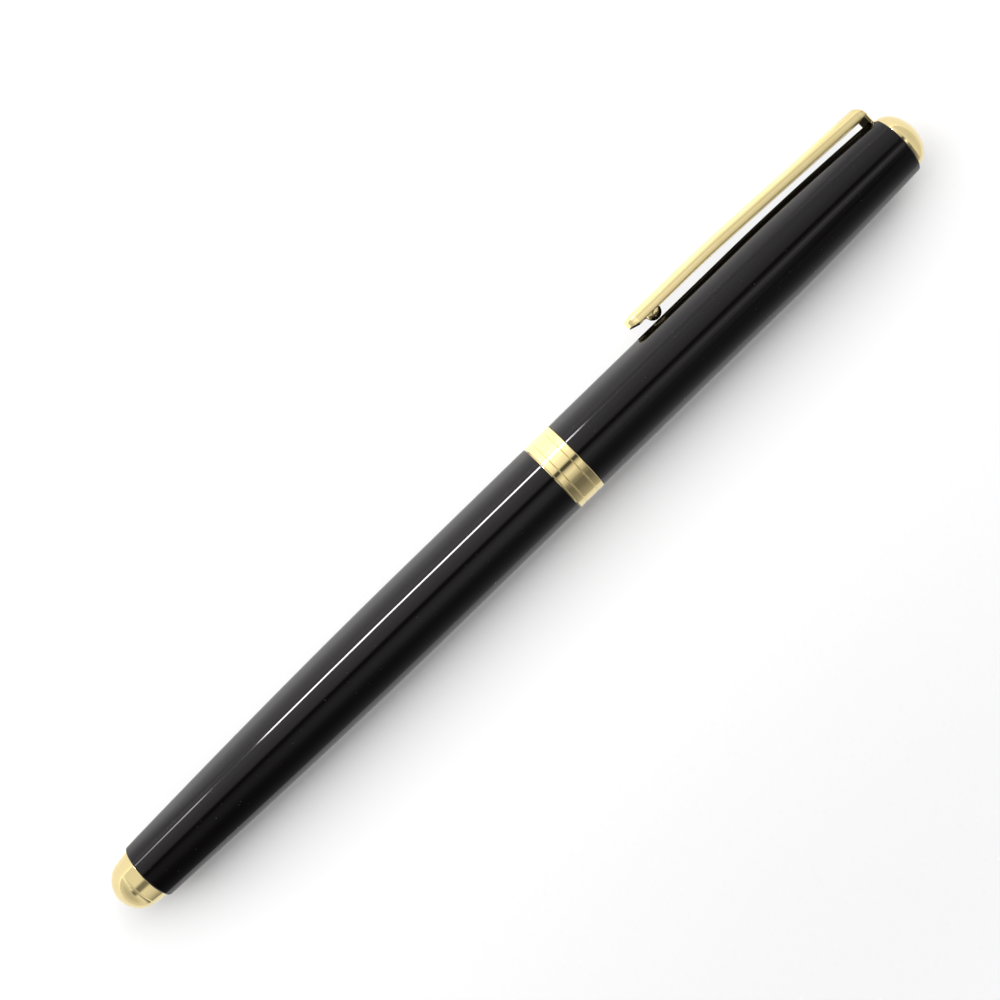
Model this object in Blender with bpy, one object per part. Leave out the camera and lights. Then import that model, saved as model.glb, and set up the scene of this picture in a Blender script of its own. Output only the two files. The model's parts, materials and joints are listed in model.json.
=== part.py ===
"""Capped rollerball pen: lacquered barrel and cap, gilt trim, sprung clip and a screw-in refill.

Frame: the pen lies on a table along X. The cap's top and the writing tip point to +X, +Z is up and
z = 0 is the table. The pen rests on its cap band and on the edge of its clip, which hangs below the
horizontal on the +Y side. The origin is the bottom centre of the whole pen's box.
Every length below is in millimetres on the pen's own axis; MM turns it into metres.
"""

import math

import bmesh
import bpy
from mathutils import Matrix, Vector

MM = 0.001

# ---- driving dimensions -----------------------------------------------------------------------
SEGMENTS = 24  # facets around a turned piece
SMALL_SEGMENTS = 16  # facets around pieces thinner than 4 mm
BALL_SEGMENTS = 12
WIRE_SIDES = 6  # facets around a coiled wire
ON_AXIS = 1e-6  # a radius below this is a pole
GAP = 0.05  # clearance between pieces that sit on or in one another
BREAK = 0.10  # bevel on a turned edge
EDGE = 0.25  # rounding of the lacquered ends

BAND_RADIUS = 5.125
AXIS_Z = BAND_RADIUS  # the band rests on the table
AXIS_Y = -1.15  # centres the whole pen, clip included, on y = 0
CLIP_ROLL = math.radians(28.85)  # how far the clip hangs below the horizontal

# barrel, from its mouth at +X to its tail at -X
BARREL_MOUTH_X = 6.30
BARREL_TAIL_X = -63.91
BARREL_RADIUS = 5.06
BARREL_TAPER_X = -18.30
BARREL_TAPER_DROP = 1.00
BARREL_WALL = 0.45
TAPER_POWER = 1.7
TUBE_BORE = 4.45  # inside radius of barrel and cap near their mouths
STUD_RADIUS = 1.00
INSERT_X = (BARREL_TAIL_X + 0.70, BARREL_TAIL_X + 2.50)

# cap, from its band at the mouth to its top at +X
BAND_X = (6.41, 10.43)
BAND_BORE = 4.50
BAND_LIP = 0.55
BAND_GROOVES_X = (7.44, 9.41)
BAND_GROOVE = (0.08, 0.07)  # half width and depth
CAP_SPIGOT = 4.75  # outside of the cap tube under its band
CAP_TOP_X = 66.03
CAP_RADIUS = 5.03
CAP_TAPER_X = 43.00
CAP_TAPER_DROP = 0.72
CAP_WALL = 0.50
CLUTCH_X = (11.50, 17.00)
CLUTCH_BORE = 4.15
CLUTCH_SLOT = (3.00, 0.70)  # length and width
LINER_X = (30.00, 64.85)
LINER_FLOOR_X = 63.40
LINER_BORE = 3.95  # around the grip section
LINER_NOSE_BORE = 3.75  # around the nose
LINER_FLOOR_BORE = 3.30
SCREW_X = (62.55, 67.20)
SCREW_HEAD = (0.80, 1.50)  # height and radius
SCREW_SLOT = (0.35, 0.40)  # depth and width
SCREW_RADIUS = 0.75

# gilt ends
TAIL_DOME_BASE = 3.75
TAIL_DOME_CREASE = 3.50
TAIL_DOME_CONE = 1.87
TAIL_DOME_TIP_X = -68.98
TAIL_DOME_NECK = 0.65
CAP_DOME_BASE = 3.94
CAP_DOME_TIP_X = 68.98
CAP_DOME_NECK_X = 65.85
CAP_BOSS_RADIUS = 1.90

# clip
CLIP_END_X = 26.10
CLIP_BACK_X = 65.65
CLIP_RIM = 6.20  # height of the clip's edges above the pen's axis, over its straight free part
CLIP_BEND_X = (36.0, 44.0)
CLIP_SLOPE = 0.0412
CLIP_HEIGHT = 1.75
CLIP_SHEET = 0.42
CLIP_HALF_END = 1.75
CLIP_HALF_ROOT = 2.20
CLIP_TIP = (1.60, 0.45, 0.55)  # length of the rounded end, lift of its edges, drop of its crown
CLIP_CORNER = 0.90
CLIP_HINGE = (65.40, 4.10)
LEG_HALF = 2.10
LEG_STEP = 3.90  # height where the leg narrows to its tongue
TONGUE = (3.00, 1.40)  # lowest height and half width
NOTCH = (0.50, 2.30)  # length before the hinge and half width
CLIP_BALL_X = 29.84
CLIP_BALL_RADIUS = 1.12

# grip section, with its thread sleeve behind and its nose in front
SECTION_X = (8.05, 46.00)
SECTION_RADII = (4.05, 3.65)
SECTION_BORE = 3.10
SLEEVE_X = -3.00
SLEEVE_SPIGOT = (3.45, 5.20)  # radius, and length inside the grip section
COLLAR_RADIUS = 4.35
NOSE_TIP_X = 53.30
NOSE_TIP_RADIUS = 1.75
NOSE_BORE = 1.35
NOSE_SPIGOT = (3.32, 4.00)  # radius and length
SNAP_X = 12.00
SNAP_MEAN_RADIUS = 3.93
SNAP_WIRE = 0.15
SNAP_SHARE = 0.94  # share of a full turn, because the ring is split

# thread between the section and the barrel
PITCH = 0.75
THREAD_TURNS = 6
THREAD_ROWS = 3  # rings of points in each turn
THREAD_X = -0.90
THREAD_END_X = THREAD_X + PITCH * THREAD_TURNS
MALE_ROOT = 3.52
MALE_CREST = 3.76
FEMALE_CREST = 3.83
FEMALE_ROOT = 4.07
BUSH_X = (-6.00, 5.90)

# refill and its spring
REFILL_TAIL_X = -55.00
REFILL_RADIUS = 3.00
REFILL_WALL = 0.30
REFILL_SHOULDER_X = 47.00
SHOULDER_LENGTH = 0.95
PLUG = (0.50, 4.00, 0.40)  # flange length, spigot length and vent radius
RESERVOIR_RADIUS = 2.55
RESERVOIR_END_X = 38.00
HOLDER_X = (41.00, 51.60)
HOLDER_CONE = (2.20, 1.30)
WICK_RADIUS = 0.60
WICK_END_X = 53.95
TIP_X = 49.50
TIP_RADIUS = 1.15
TIP_CONE_X = 54.00
TIP_END_RADIUS = 0.44
BALL_RADIUS = 0.35
BALL_X = 55.62
SPRING_X = (-60.60, -55.05)
SPRING_MEAN = 2.10
SPRING_WIRE = 0.20
SPRING_TURNS = 4.5
CUP_RADIUS = 3.25
CUP_RIM = (1.50, 0.40)  # height and thickness
CUP_POST = (2.60, 1.55)  # height and radius


# ---- scene, frames and finishes ---------------------------------------------------------------
def clear_scene():
    for obj in list(bpy.data.objects):
        bpy.data.objects.remove(obj, do_unlink=True)


def finish(name, colour, roughness, metallic=0.0):
    material = bpy.data.materials.new(name)
    material.use_nodes = True
    shader = material.node_tree.nodes["Principled BSDF"]
    shader.inputs["Base Color"].default_value = (*colour, 1.0)
    shader.inputs["Roughness"].default_value = roughness
    shader.inputs["Metallic"].default_value = metallic
    material.diffuse_color = (*colour, 1.0)
    return material


def lacquer(name):
    return finish(name, (0.008, 0.007, 0.006), 0.08)


def gilt(name):
    return finish(name, (0.78, 0.58, 0.22), 0.12, 1.0)


def brass(name):
    return finish(name, (0.62, 0.46, 0.20), 0.30, 1.0)


def steel(name):
    return finish(name, (0.58, 0.58, 0.60), 0.25, 1.0)


def plastic(name, colour):
    return finish(name, colour, 0.45)


def fibre(name, colour):
    return finish(name, colour, 0.90)


def frame(name, location, parent=None):
    empty = bpy.data.objects.new(name, None)
    empty.empty_display_size = 0.01
    empty.location = [value * MM for value in location]
    empty.parent = parent
    bpy.context.scene.collection.objects.link(empty)
    return empty


def add_object(name, bm, parent, material=None):
    bmesh.ops.recalc_face_normals(bm, faces=bm.faces)
    bmesh.ops.transform(bm, matrix=Matrix.Scale(MM, 4), verts=bm.verts)
    mesh = bpy.data.meshes.new(name)
    bm.to_mesh(mesh)
    bm.free()
    mesh.shade_smooth()
    mesh.set_sharp_from_angle(angle=math.radians(35))
    if material is not None:
        mesh.materials.append(material)
    obj = bpy.data.objects.new(name, mesh)
    obj.parent = parent
    bpy.context.scene.collection.objects.link(obj)
    return obj


def tool(obj):
    """Marks an object as a cutter or an addition that only a Boolean uses."""
    obj.hide_render = True
    obj.display_type = "WIRE"
    return obj


def combine(obj, other, operation):
    modifier = obj.modifiers.new(f"{operation.lower()} {other.name}", "BOOLEAN")
    modifier.operation = operation
    modifier.solver = "EXACT"
    modifier.object = tool(other)


# ---- outlines ---------------------------------------------------------------------------------
def spaced(start, end, count):
    """count + 1 even steps from start to end."""
    return [start + (end - start) * i / count for i in range(count + 1)]


def arc(centre_x, centre_r, radius_x, radius_r, start, end, count):
    """Points of an ellipse's arc; angles in degrees, 0 along +X and 90 outwards."""
    angles = [math.radians(value) for value in spaced(start, end, count)]
    return [(centre_x + radius_x * math.cos(a), centre_r + radius_r * math.sin(a)) for a in angles]


def barrel_radius(x):
    run = max(0.0, (BARREL_TAPER_X - x) / (BARREL_TAPER_X - BARREL_TAIL_X))
    return BARREL_RADIUS - BARREL_TAPER_DROP * run**TAPER_POWER


def barrel_bore(x):
    return min(TUBE_BORE, barrel_radius(x) - BARREL_WALL)


def cap_radius(x):
    run = max(0.0, (x - CAP_TAPER_X) / (CAP_TOP_X - CAP_TAPER_X))
    return CAP_RADIUS - CAP_TAPER_DROP * run**TAPER_POWER


def cap_bore(x):
    return min(TUBE_BORE, cap_radius(x) - CAP_WALL)


def section_radius(x):
    run = (x - SECTION_X[0]) / (SECTION_X[1] - SECTION_X[0])
    return SECTION_RADII[0] + (SECTION_RADII[1] - SECTION_RADII[0]) * run


# ---- solids -----------------------------------------------------------------------------------
def ring_at(bm, x, radius, segments):
    """A ring of points about the pen's axis, or the single point of a pole."""
    if radius < ON_AXIS:
        return [bm.verts.new((x, 0.0, 0.0))]
    angles = [math.tau * i / segments for i in range(segments)]
    return [bm.verts.new((x, radius * math.cos(a), radius * math.sin(a))) for a in angles]


def link_rings(bm, first, second):
    """Fills the strip between two rings; a ring of one point is a pole."""
    count = max(len(first), len(second))
    if count == 1:
        return
    for i in range(count):
        j = (i + 1) % count
        corners = [first[i % len(first)], first[j % len(first)]]
        corners += [second[j % len(second)], second[i % len(second)]]
        bm.faces.new(list(dict.fromkeys(corners)))


def turned(name, outline, material, parent, segments=SEGMENTS):
    """A closed outline of (x, radius) points turned about the pen's axis."""
    bm = bmesh.new()
    rings = [ring_at(bm, x, radius, segments) for x, radius in outline]
    for first, second in zip(rings, rings[1:] + rings[:1]):
        link_rings(bm, first, second)
    return add_object(name, bm, parent, material)


def sheath(name, outside, inside, material, parent, segments=SEGMENTS):
    """A turned tube whose outside and inside outlines both run from -X to +X."""
    return turned(name, outside + inside[::-1], material, parent, segments)


def box(name, low, high, parent):
    bm = bmesh.new()
    bmesh.ops.create_cube(bm, size=1.0)
    for vert in bm.verts:
        vert.co = [(a + b) / 2 + c * (b - a) for a, b, c in zip(low, high, vert.co)]
    return add_object(name, bm, parent)


def lofted(name, sections, parent, material=None):
    """A solid through closed sections with equal point counts, capped at both ends."""
    bm = bmesh.new()
    rings = [[bm.verts.new(point) for point in section] for section in sections]
    for first, second in zip(rings, rings[1:]):
        link_rings(bm, first, second)
    bm.faces.new(rings[0])
    bm.faces.new(rings[-1])
    return add_object(name, bm, parent, material)


def coil(name, radius, wire, ends_x, turns, material, parent):
    """A round wire wound right-handed about the pen's axis, with its ends cut square."""
    steps = round(turns * SMALL_SEGMENTS)
    advance = (ends_x[1] - ends_x[0]) / (math.tau * turns)
    sections = []
    for a in spaced(0.0, math.tau * turns, steps):
        outwards = Vector((0.0, math.cos(a), math.sin(a)))
        along = Vector((advance, -radius * math.sin(a), radius * math.cos(a))).normalized()
        across = along.cross(outwards)
        centre = Vector((ends_x[0] + advance * a, 0.0, 0.0)) + radius * outwards
        section = []
        for b in [math.tau * i / WIRE_SIDES for i in range(WIRE_SIDES)]:
            section.append(centre + wire * (math.cos(b) * outwards + math.sin(b) * across))
        sections.append(section)
    return lofted(name, sections, parent, material)


def threaded(name, root, crest, offset, rest, material, parent):
    """A turned tube with a one-start right-hand thread on its outside or its inside.

    The thread starts at THREAD_X, and its crest is offset by that share of a turn. It fades in and
    out over its first and last turn. rest holds the outline's other points, running on from the
    thread's +X end, around the tube and back to its -X end.
    """
    angles = [math.tau * i / SEGMENTS for i in range(SEGMENTS)]
    bm = bmesh.new()
    rings = []
    for turn in spaced(0.0, THREAD_TURNS, THREAD_TURNS * THREAD_ROWS):
        fade = min(1.0, turn, THREAD_TURNS - turn)
        ring = []
        for a in angles:
            phase = (turn - a / math.tau - offset) % 1.0
            ridge = 1.0 - 2.0 * min(phase, 1.0 - phase)
            radius = root + (crest - root) * fade * ridge
            x = THREAD_X + PITCH * turn
            ring.append(bm.verts.new((x, radius * math.cos(a), radius * math.sin(a))))
        rings.append(ring)
    rings += [ring_at(bm, x, radius, SEGMENTS) for x, radius in rest]
    for first, second in zip(rings, rings[1:] + rings[:1]):
        link_rings(bm, first, second)
    return add_object(name, bm, parent, material)


# ---- barrel -----------------------------------------------------------------------------------
def barrel_tube(parent):
    tail, mouth = BARREL_TAIL_X, BARREL_MOUTH_X
    outside = arc(tail + EDGE, barrel_radius(tail) - EDGE, EDGE, EDGE, 180, 90, 2)[:-1]
    outside += [(x, barrel_radius(x)) for x in spaced(tail + EDGE, BARREL_TAPER_X, 6)]
    outside += [(mouth - BREAK, BARREL_RADIUS), (mouth, BARREL_RADIUS - BREAK)]
    bore_end = BARREL_TAPER_X - 10.0
    inside = [(x, barrel_bore(x)) for x in spaced(tail, bore_end, 4)] + [(mouth, TUBE_BORE)]
    sheath("barrel_tube", outside, inside, lacquer("barrel lacquer"), parent)


def barrel_bush(parent):
    """The threaded sleeve pressed into the barrel's mouth."""
    back, front = BUSH_X
    outer = TUBE_BORE - GAP
    rest = [(THREAD_END_X + BREAK, FEMALE_ROOT), (front, FEMALE_ROOT), (front, outer)]
    rest += [(back, outer), (back, FEMALE_ROOT), (THREAD_X - BREAK, FEMALE_ROOT)]
    threaded("barrel_bush", FEMALE_ROOT, FEMALE_CREST, 0.5, rest, brass("bush brass"), parent)


def barrel_finial(parent):
    """The gilt end of the barrel: a short cone, a crease and a round end, on a threaded stud."""
    base = BARREL_TAIL_X - GAP
    crease = BARREL_TAIL_X - TAIL_DOME_CONE
    neck = (BARREL_TAIL_X + TAIL_DOME_NECK, barrel_bore(BARREL_TAIL_X) - GAP)
    stud_end = INSERT_X[1] - 0.20
    outline = arc(crease, 0.0, crease - TAIL_DOME_TIP_X, TAIL_DOME_CREASE, 180, 90, 6)
    outline += [(base - BREAK, TAIL_DOME_BASE), (base, TAIL_DOME_BASE - BREAK), (base, neck[1]), neck]
    outline += [(neck[0], STUD_RADIUS), (stud_end, STUD_RADIUS), (stud_end, 0.0)]
    turned("barrel_finial", outline, gilt("barrel finial gilt"), parent)


def tail_insert(parent):
    """The ring pressed into the barrel's tail, which the gilt end's stud screws into."""
    outer, bore = barrel_bore(INSERT_X[0]) - GAP, STUD_RADIUS + GAP
    outside, inside = [[(x, radius) for x in INSERT_X] for radius in (outer, bore)]
    sheath("tail_insert", outside, inside, brass("insert brass"), parent)


def spring_cup(parent):
    """The cup that centres the spring in the barrel's tail: a rim around a central post."""
    back, floor = INSERT_X[1] + GAP, SPRING_X[0] - GAP
    rim, wall = CUP_RIM
    height, post = CUP_POST
    outline = [(back, 0.0), (back, CUP_RADIUS), (back + rim, CUP_RADIUS), (back + rim, CUP_RADIUS - wall)]
    outline += [(floor, CUP_RADIUS - wall), (floor, post), (back + height - 3 * BREAK, post)]
    outline += [(back + height, post - 3 * BREAK), (back + height, 0.0)]
    turned("spring_cup", outline, plastic("cup plastic", (0.75, 0.74, 0.70)), parent)


def refill_spring(parent):
    ends = (SPRING_X[0] + SPRING_WIRE, SPRING_X[1] - SPRING_WIRE)
    coil("refill_spring", SPRING_MEAN, SPRING_WIRE, ends, SPRING_TURNS, steel("spring steel"), parent)


# ---- grip section -----------------------------------------------------------------------------
def thread_sleeve(parent):
    """The brass sleeve with the male thread; its front end is the grip section's spigot."""
    spigot, length = SLEEVE_SPIGOT
    shoulder, front = BUSH_X[1] + GAP, SECTION_X[0] + length
    rest = [(THREAD_END_X + BREAK, MALE_ROOT), (shoulder, MALE_ROOT), (shoulder, spigot)]
    rest += [(front, spigot), (front, SECTION_BORE), (SLEEVE_X, SECTION_BORE)]
    rest += [(SLEEVE_X, MALE_ROOT - BREAK), (SLEEVE_X + BREAK, MALE_ROOT), (THREAD_X - BREAK, MALE_ROOT)]
    threaded("thread_sleeve", MALE_ROOT, MALE_CREST, 0.0, rest, brass("sleeve brass"), parent)


def section_ring(parent):
    """The gilt collar between the thread and the grip, which stops against the barrel's bush."""
    back, front = BUSH_X[1] + 2 * GAP, SECTION_X[0] - GAP
    outside = [(back, COLLAR_RADIUS - BREAK), (back + BREAK, COLLAR_RADIUS)]
    outside += [(front - 2 * BREAK, COLLAR_RADIUS), (front, COLLAR_RADIUS - 2 * BREAK)]
    inside = [(x, SLEEVE_SPIGOT[0] + GAP) for x in (back, front)]
    sheath("section_ring", outside, inside, gilt("ring gilt"), parent)


def grip_section(parent):
    """The black tube the fingers hold, bored out at both ends and grooved for the snap ring."""
    back, front = SECTION_X
    groove = (SNAP_X - SNAP_WIRE - GAP, SNAP_X + SNAP_WIRE + GAP)
    floor = SNAP_MEAN_RADIUS - SNAP_WIRE - GAP
    outside = [(back, section_radius(back) - BREAK), (back + BREAK, section_radius(back))]
    outside += [(groove[0], section_radius(groove[0])), (groove[0], floor)]
    outside += [(groove[1], floor), (groove[1], section_radius(groove[1]))]
    outside += [(front, section_radius(front))]
    sleeve, sleeve_end = SLEEVE_SPIGOT[0] + GAP, back + SLEEVE_SPIGOT[1] + GAP
    nose, nose_start = NOSE_SPIGOT[0] + GAP, front - NOSE_SPIGOT[1] - GAP
    inside = [(back, sleeve), (sleeve_end, sleeve), (sleeve_end, SECTION_BORE)]
    inside += [(nose_start, SECTION_BORE), (nose_start, nose), (front, nose)]
    sheath("grip_section", outside, inside, lacquer("grip black"), parent)


def nose_cone(parent):
    """The gilt nose: a spigot in the grip section, the refill's seat and a curved cone."""
    spigot, length = NOSE_SPIGOT
    back, front, seat = SECTION_X[1] + GAP, NOSE_TIP_X, REFILL_SHOULDER_X + GAP
    start = back - length
    outside = [(start, spigot), (back, spigot), (back, SECTION_RADII[1] - BREAK)]
    for run in spaced(0.02, 1.0, 6):
        radius = SECTION_RADII[1] - (SECTION_RADII[1] - NOSE_TIP_RADIUS) * run**1.4
        outside.append((back + (front - back) * run, radius))
    inside = [(start, SECTION_BORE), (seat, SECTION_BORE), (seat, HOLDER_CONE[0] + 3 * GAP)]
    inside += [(front - 1.0, NOSE_BORE), (front, NOSE_BORE)]
    sheath("nose_cone", outside, inside, gilt("nose gilt"), parent)


def snap_ring(parent):
    """A split wire ring in the grip section's groove, which the cap's clutch slides over."""
    ends = (SNAP_X, SNAP_X)
    coil("snap_ring", SNAP_MEAN_RADIUS, SNAP_WIRE, ends, SNAP_SHARE, steel("ring steel"), parent)


# ---- cap --------------------------------------------------------------------------------------
def cap_tube(parent, clip_frame):
    """The lacquered cap: a spigot for the band, a taper, and a notch in its top for the clip's leg."""
    start, body, top = BAND_X[0] + BAND_LIP + GAP, BAND_X[1] + GAP, CAP_TOP_X
    outside = [(start, CAP_SPIGOT), (body, CAP_SPIGOT), (body, CAP_RADIUS - GAP), (body + GAP, CAP_RADIUS)]
    outside += [(x, cap_radius(x)) for x in spaced(CAP_TAPER_X, top - EDGE, 5)]
    outside += arc(top - EDGE, cap_radius(top) - EDGE, EDGE, EDGE, 90, 0, 2)[1:]
    bore_taper = CAP_TAPER_X + 6.0
    inside = [(start, TUBE_BORE)] + [(x, cap_bore(x)) for x in spaced(bore_taper, top, 4)]
    tube = sheath("cap_tube", outside, inside, lacquer("cap lacquer"), parent)
    length, half = NOTCH
    low = (CLIP_HINGE[0] - length, TONGUE[0] - 2 * GAP, -half)
    high = (top + 1.0, CAP_RADIUS + 1.0, half)
    combine(tube, box("notch_cutter", low, high, clip_frame), "DIFFERENCE")


def cap_band(parent):
    """The gilt ring around the cap's mouth, with two fine turned grooves."""
    start, end = BAND_X
    half, depth = BAND_GROOVE
    outside = [(start, BAND_RADIUS - BREAK), (start + BREAK, BAND_RADIUS)]
    for x in BAND_GROOVES_X:
        outside += [(x - half, BAND_RADIUS), (x, BAND_RADIUS - depth), (x + half, BAND_RADIUS)]
    outside += [(end - BREAK, BAND_RADIUS), (end, BAND_RADIUS - BREAK)]
    lip, seat = start + BAND_LIP, CAP_SPIGOT + GAP
    inside = [(start, BAND_BORE), (lip, BAND_BORE), (lip, seat), (end, seat)]
    sheath("cap_band", outside, inside, gilt("band gilt"), parent)


def cap_clutch(parent):
    """The slotted ring inside the cap's mouth whose fingers grip the snap ring."""
    back, front = CLUTCH_X
    outer = TUBE_BORE - GAP
    outside = [(back, outer - BREAK), (back + BREAK, outer), (front, outer)]
    inside = [(back, CLUTCH_BORE + BREAK), (back + 2 * BREAK, CLUTCH_BORE), (front, CLUTCH_BORE)]
    clutch = sheath("cap_clutch", outside, inside, brass("clutch brass"), parent)
    length, width = CLUTCH_SLOT
    reach = TUBE_BORE + 1.0
    for name, y, z in (("flat_slot", reach, width / 2), ("upright_slot", width / 2, reach)):
        cutter = box(name, (back - 1.0, -y, -z), (back + length, y, z), parent)
        combine(clutch, cutter, "DIFFERENCE")


def inner_cap(parent):
    """The plastic liner that closes around the nose; the finial's screw holds it in place."""
    back, front = LINER_X
    outer, bore = TUBE_BORE - GAP, SCREW_RADIUS + 2 * GAP
    nose = SECTION_X[1] + 0.60
    outside = [(back, outer - BREAK), (back + BREAK, outer)]
    outside += [(x, cap_bore(x) - GAP) for x in spaced(CAP_TAPER_X + 6.0, front, 3)]
    inside = [(back, LINER_BORE + BREAK), (back + 3 * BREAK, LINER_BORE), (nose, LINER_BORE)]
    inside += [(nose + 0.60, LINER_NOSE_BORE), (NOSE_TIP_X + 2.0, LINER_NOSE_BORE)]
    inside += [(LINER_FLOOR_X, LINER_FLOOR_BORE), (LINER_FLOOR_X, bore), (front, bore)]
    sheath("inner_cap", outside, inside, plastic("liner plastic", (0.05, 0.05, 0.055)), parent)


def cap_finial(parent):
    """The gilt end of the cap, with a neck inside the tube and a tapped boss on the liner's floor."""
    base, tip = CAP_TOP_X + GAP, CAP_DOME_TIP_X
    boss_x, neck_x = LINER_X[1] + GAP, CAP_DOME_NECK_X
    neck, bore, bore_end = cap_bore(CAP_TOP_X) - 2 * GAP, SCREW_RADIUS + GAP, SCREW_X[1] + 6 * GAP
    outline = [(boss_x, bore), (boss_x, CAP_BOSS_RADIUS), (neck_x, CAP_BOSS_RADIUS), (neck_x, neck)]
    outline += [(base, neck), (base, CAP_DOME_BASE - BREAK)]
    outline += arc(base + BREAK, 0.0, tip - base - BREAK, CAP_DOME_BASE, 90, 0, 6)
    outline += [(bore_end, 0.0), (bore_end, bore)]
    turned("cap_finial", outline, gilt("cap finial gilt"), parent)


def cap_screw(parent):
    """The screw through the liner's floor that draws the finial and the liner together."""
    start, end = SCREW_X
    height, head = SCREW_HEAD
    depth, width = SCREW_SLOT
    outline = [(start, 0.0), (start, head - BREAK), (start + BREAK, head), (start + height, head)]
    outline += [(start + height, SCREW_RADIUS), (end, SCREW_RADIUS), (end, 0.0)]
    screw = turned("cap_screw", outline, steel("screw steel"), parent, SMALL_SEGMENTS)
    reach = head + 1.0
    slot = box("screw_slot", (start - 1.0, -width / 2, -reach), (start + depth, width / 2, reach), parent)
    combine(screw, slot, "DIFFERENCE")


# ---- clip, in a frame whose Y points from the pen's axis to the clip ---------------------------
def clip_rim(x):
    """Height of the clip's edges: level, then a bend, then straight down towards the cap's top."""
    start, end = CLIP_BEND_X
    if x <= start:
        return CLIP_RIM
    if x >= end:
        return CLIP_RIM - CLIP_SLOPE * (x - (start + end) / 2)
    return CLIP_RIM - CLIP_SLOPE * (x - start) ** 2 / (2 * (end - start))


def clip_half(x):
    run = (x - CLIP_END_X) / (CLIP_BACK_X - CLIP_END_X)
    return CLIP_HALF_END + (CLIP_HALF_ROOT - CLIP_HALF_END) * run


def clip_outline(x, half, low, high):
    """A D-shaped section with a flat back: straight sides, rounded shoulders, a level crown."""
    shoulder = low + 0.45 * (high - low)
    land = 0.35 * half
    points = [(x, low, half)]
    for a in [math.radians(value) for value in spaced(0, 90, 4)]:
        points.append((x, shoulder + (high - shoulder) * math.sin(a), land + (half - land) * math.cos(a)))
    return points + [(x, y, -z) for x, y, z in points[::-1]]


def clip_sections():
    """The clip's outer shape: a rounded free end, the long arm and a rounded root corner."""
    length, lift, drop = CLIP_TIP
    sections = []
    for a in [math.radians(value) for value in (12, 30, 50, 70, 90)]:
        x = CLIP_END_X + length * (1 - math.cos(a))
        low = CLIP_RIM + lift * math.cos(a)
        high = CLIP_RIM + CLIP_HEIGHT - drop * (1 - math.sin(a))
        sections.append(clip_outline(x, clip_half(x) * math.sin(a) ** 0.6, low, high))
    for x in spaced(*CLIP_BEND_X, 3) + [CLIP_BACK_X - CLIP_CORNER]:
        sections.append(clip_outline(x, clip_half(x), clip_rim(x), clip_rim(x) + CLIP_HEIGHT))
    for a in [math.radians(value) for value in (35, 65, 90)]:
        x = CLIP_BACK_X - CLIP_CORNER * (1 - math.sin(a))
        high = clip_rim(x) + CLIP_HEIGHT - CLIP_CORNER * (1 - math.cos(a))
        sections.append(clip_outline(x, clip_half(x), clip_rim(x), high))
    return sections


def clip_channel(clip_frame):
    """The hollow of the clip's back, as a cutter."""
    start, end = CLIP_END_X + 1.4, CLIP_BACK_X - CLIP_SHEET - GAP
    below = 0.5
    sections = []
    for x in [start, start + 0.8] + spaced(*CLIP_BEND_X, 2) + [end]:
        depth = CLIP_HEIGHT - CLIP_SHEET if x > start else 0.3 * CLIP_HEIGHT
        sections.append(clip_outline(x, clip_half(x) - CLIP_SHEET, clip_rim(x) - below, clip_rim(x) + depth))
    return lofted("channel_cutter", sections, clip_frame)


def clip_leg(clip_frame):
    """The sheet that drops from the arm's root through the cap's notch and ends in a narrower tongue."""
    low, tongue = TONGUE
    high = clip_rim(CLIP_BACK_X) + CLIP_HEIGHT - 1.0
    side = [(low, tongue), (LEG_STEP, tongue), (LEG_STEP, LEG_HALF), (high, LEG_HALF)]
    plate = side + [(y, -z) for y, z in side[::-1]]
    faces_x = (CLIP_BACK_X - CLIP_SHEET, CLIP_BACK_X - 0.02)
    return lofted("leg_addition", [[(x, y, z) for y, z in plate] for x in faces_x], clip_frame)


def clip(clip_frame, hinge):
    """The pressed clip: a long arm, hollow on the pen's side, and its leg."""
    arm = lofted("clip", clip_sections(), clip_frame, gilt("clip gilt"))
    combine(arm, clip_channel(clip_frame), "DIFFERENCE")
    combine(arm, clip_leg(clip_frame), "UNION")
    arm.data.transform(Matrix.Translation(-hinge.location))
    arm.parent = hinge


def clip_ball(hinge):
    """The round foot under the clip's free end, on a short stem in the clip's channel."""
    radius = CLIP_BALL_RADIUS
    centre = CAP_RADIUS + GAP + radius
    roof = CLIP_RIM + CLIP_HEIGHT - CLIP_SHEET - GAP
    outline = arc(0.0, 0.0, radius, radius, 180, 30, 7)
    outline += [(roof - centre, radius / 2), (roof - centre, 0.0)]
    ball = turned("clip_ball", outline, gilt("ball gilt"), hinge, SMALL_SEGMENTS)
    ball.location = [(CLIP_BALL_X - CLIP_HINGE[0]) * MM, (centre - CLIP_HINGE[1]) * MM, 0.0]
    ball.rotation_euler.z = math.pi / 2


# ---- refill -----------------------------------------------------------------------------------
def refill_tube(parent):
    ends = (REFILL_TAIL_X + PLUG[0] + GAP, REFILL_SHOULDER_X - SHOULDER_LENGTH - GAP)
    outside, inside = [[(x, r) for x in ends] for r in (REFILL_RADIUS, REFILL_RADIUS - REFILL_WALL)]
    sheath("refill_tube", outside, inside, steel("refill steel"), parent)


def refill_plug(parent):
    """The vented plug in the refill's tail, which the spring presses on."""
    flange, length, vent = PLUG
    back, shoulder = REFILL_TAIL_X, REFILL_TAIL_X + flange
    spigot = REFILL_RADIUS - REFILL_WALL - GAP
    outside = [(back, REFILL_RADIUS - BREAK), (back + BREAK, REFILL_RADIUS), (shoulder, REFILL_RADIUS)]
    outside += [(shoulder, spigot), (shoulder + length, spigot)]
    inside = [(back, vent), (shoulder + length, vent)]
    sheath("refill_plug", outside, inside, plastic("plug plastic", (0.02, 0.02, 0.022)), parent)


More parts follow.
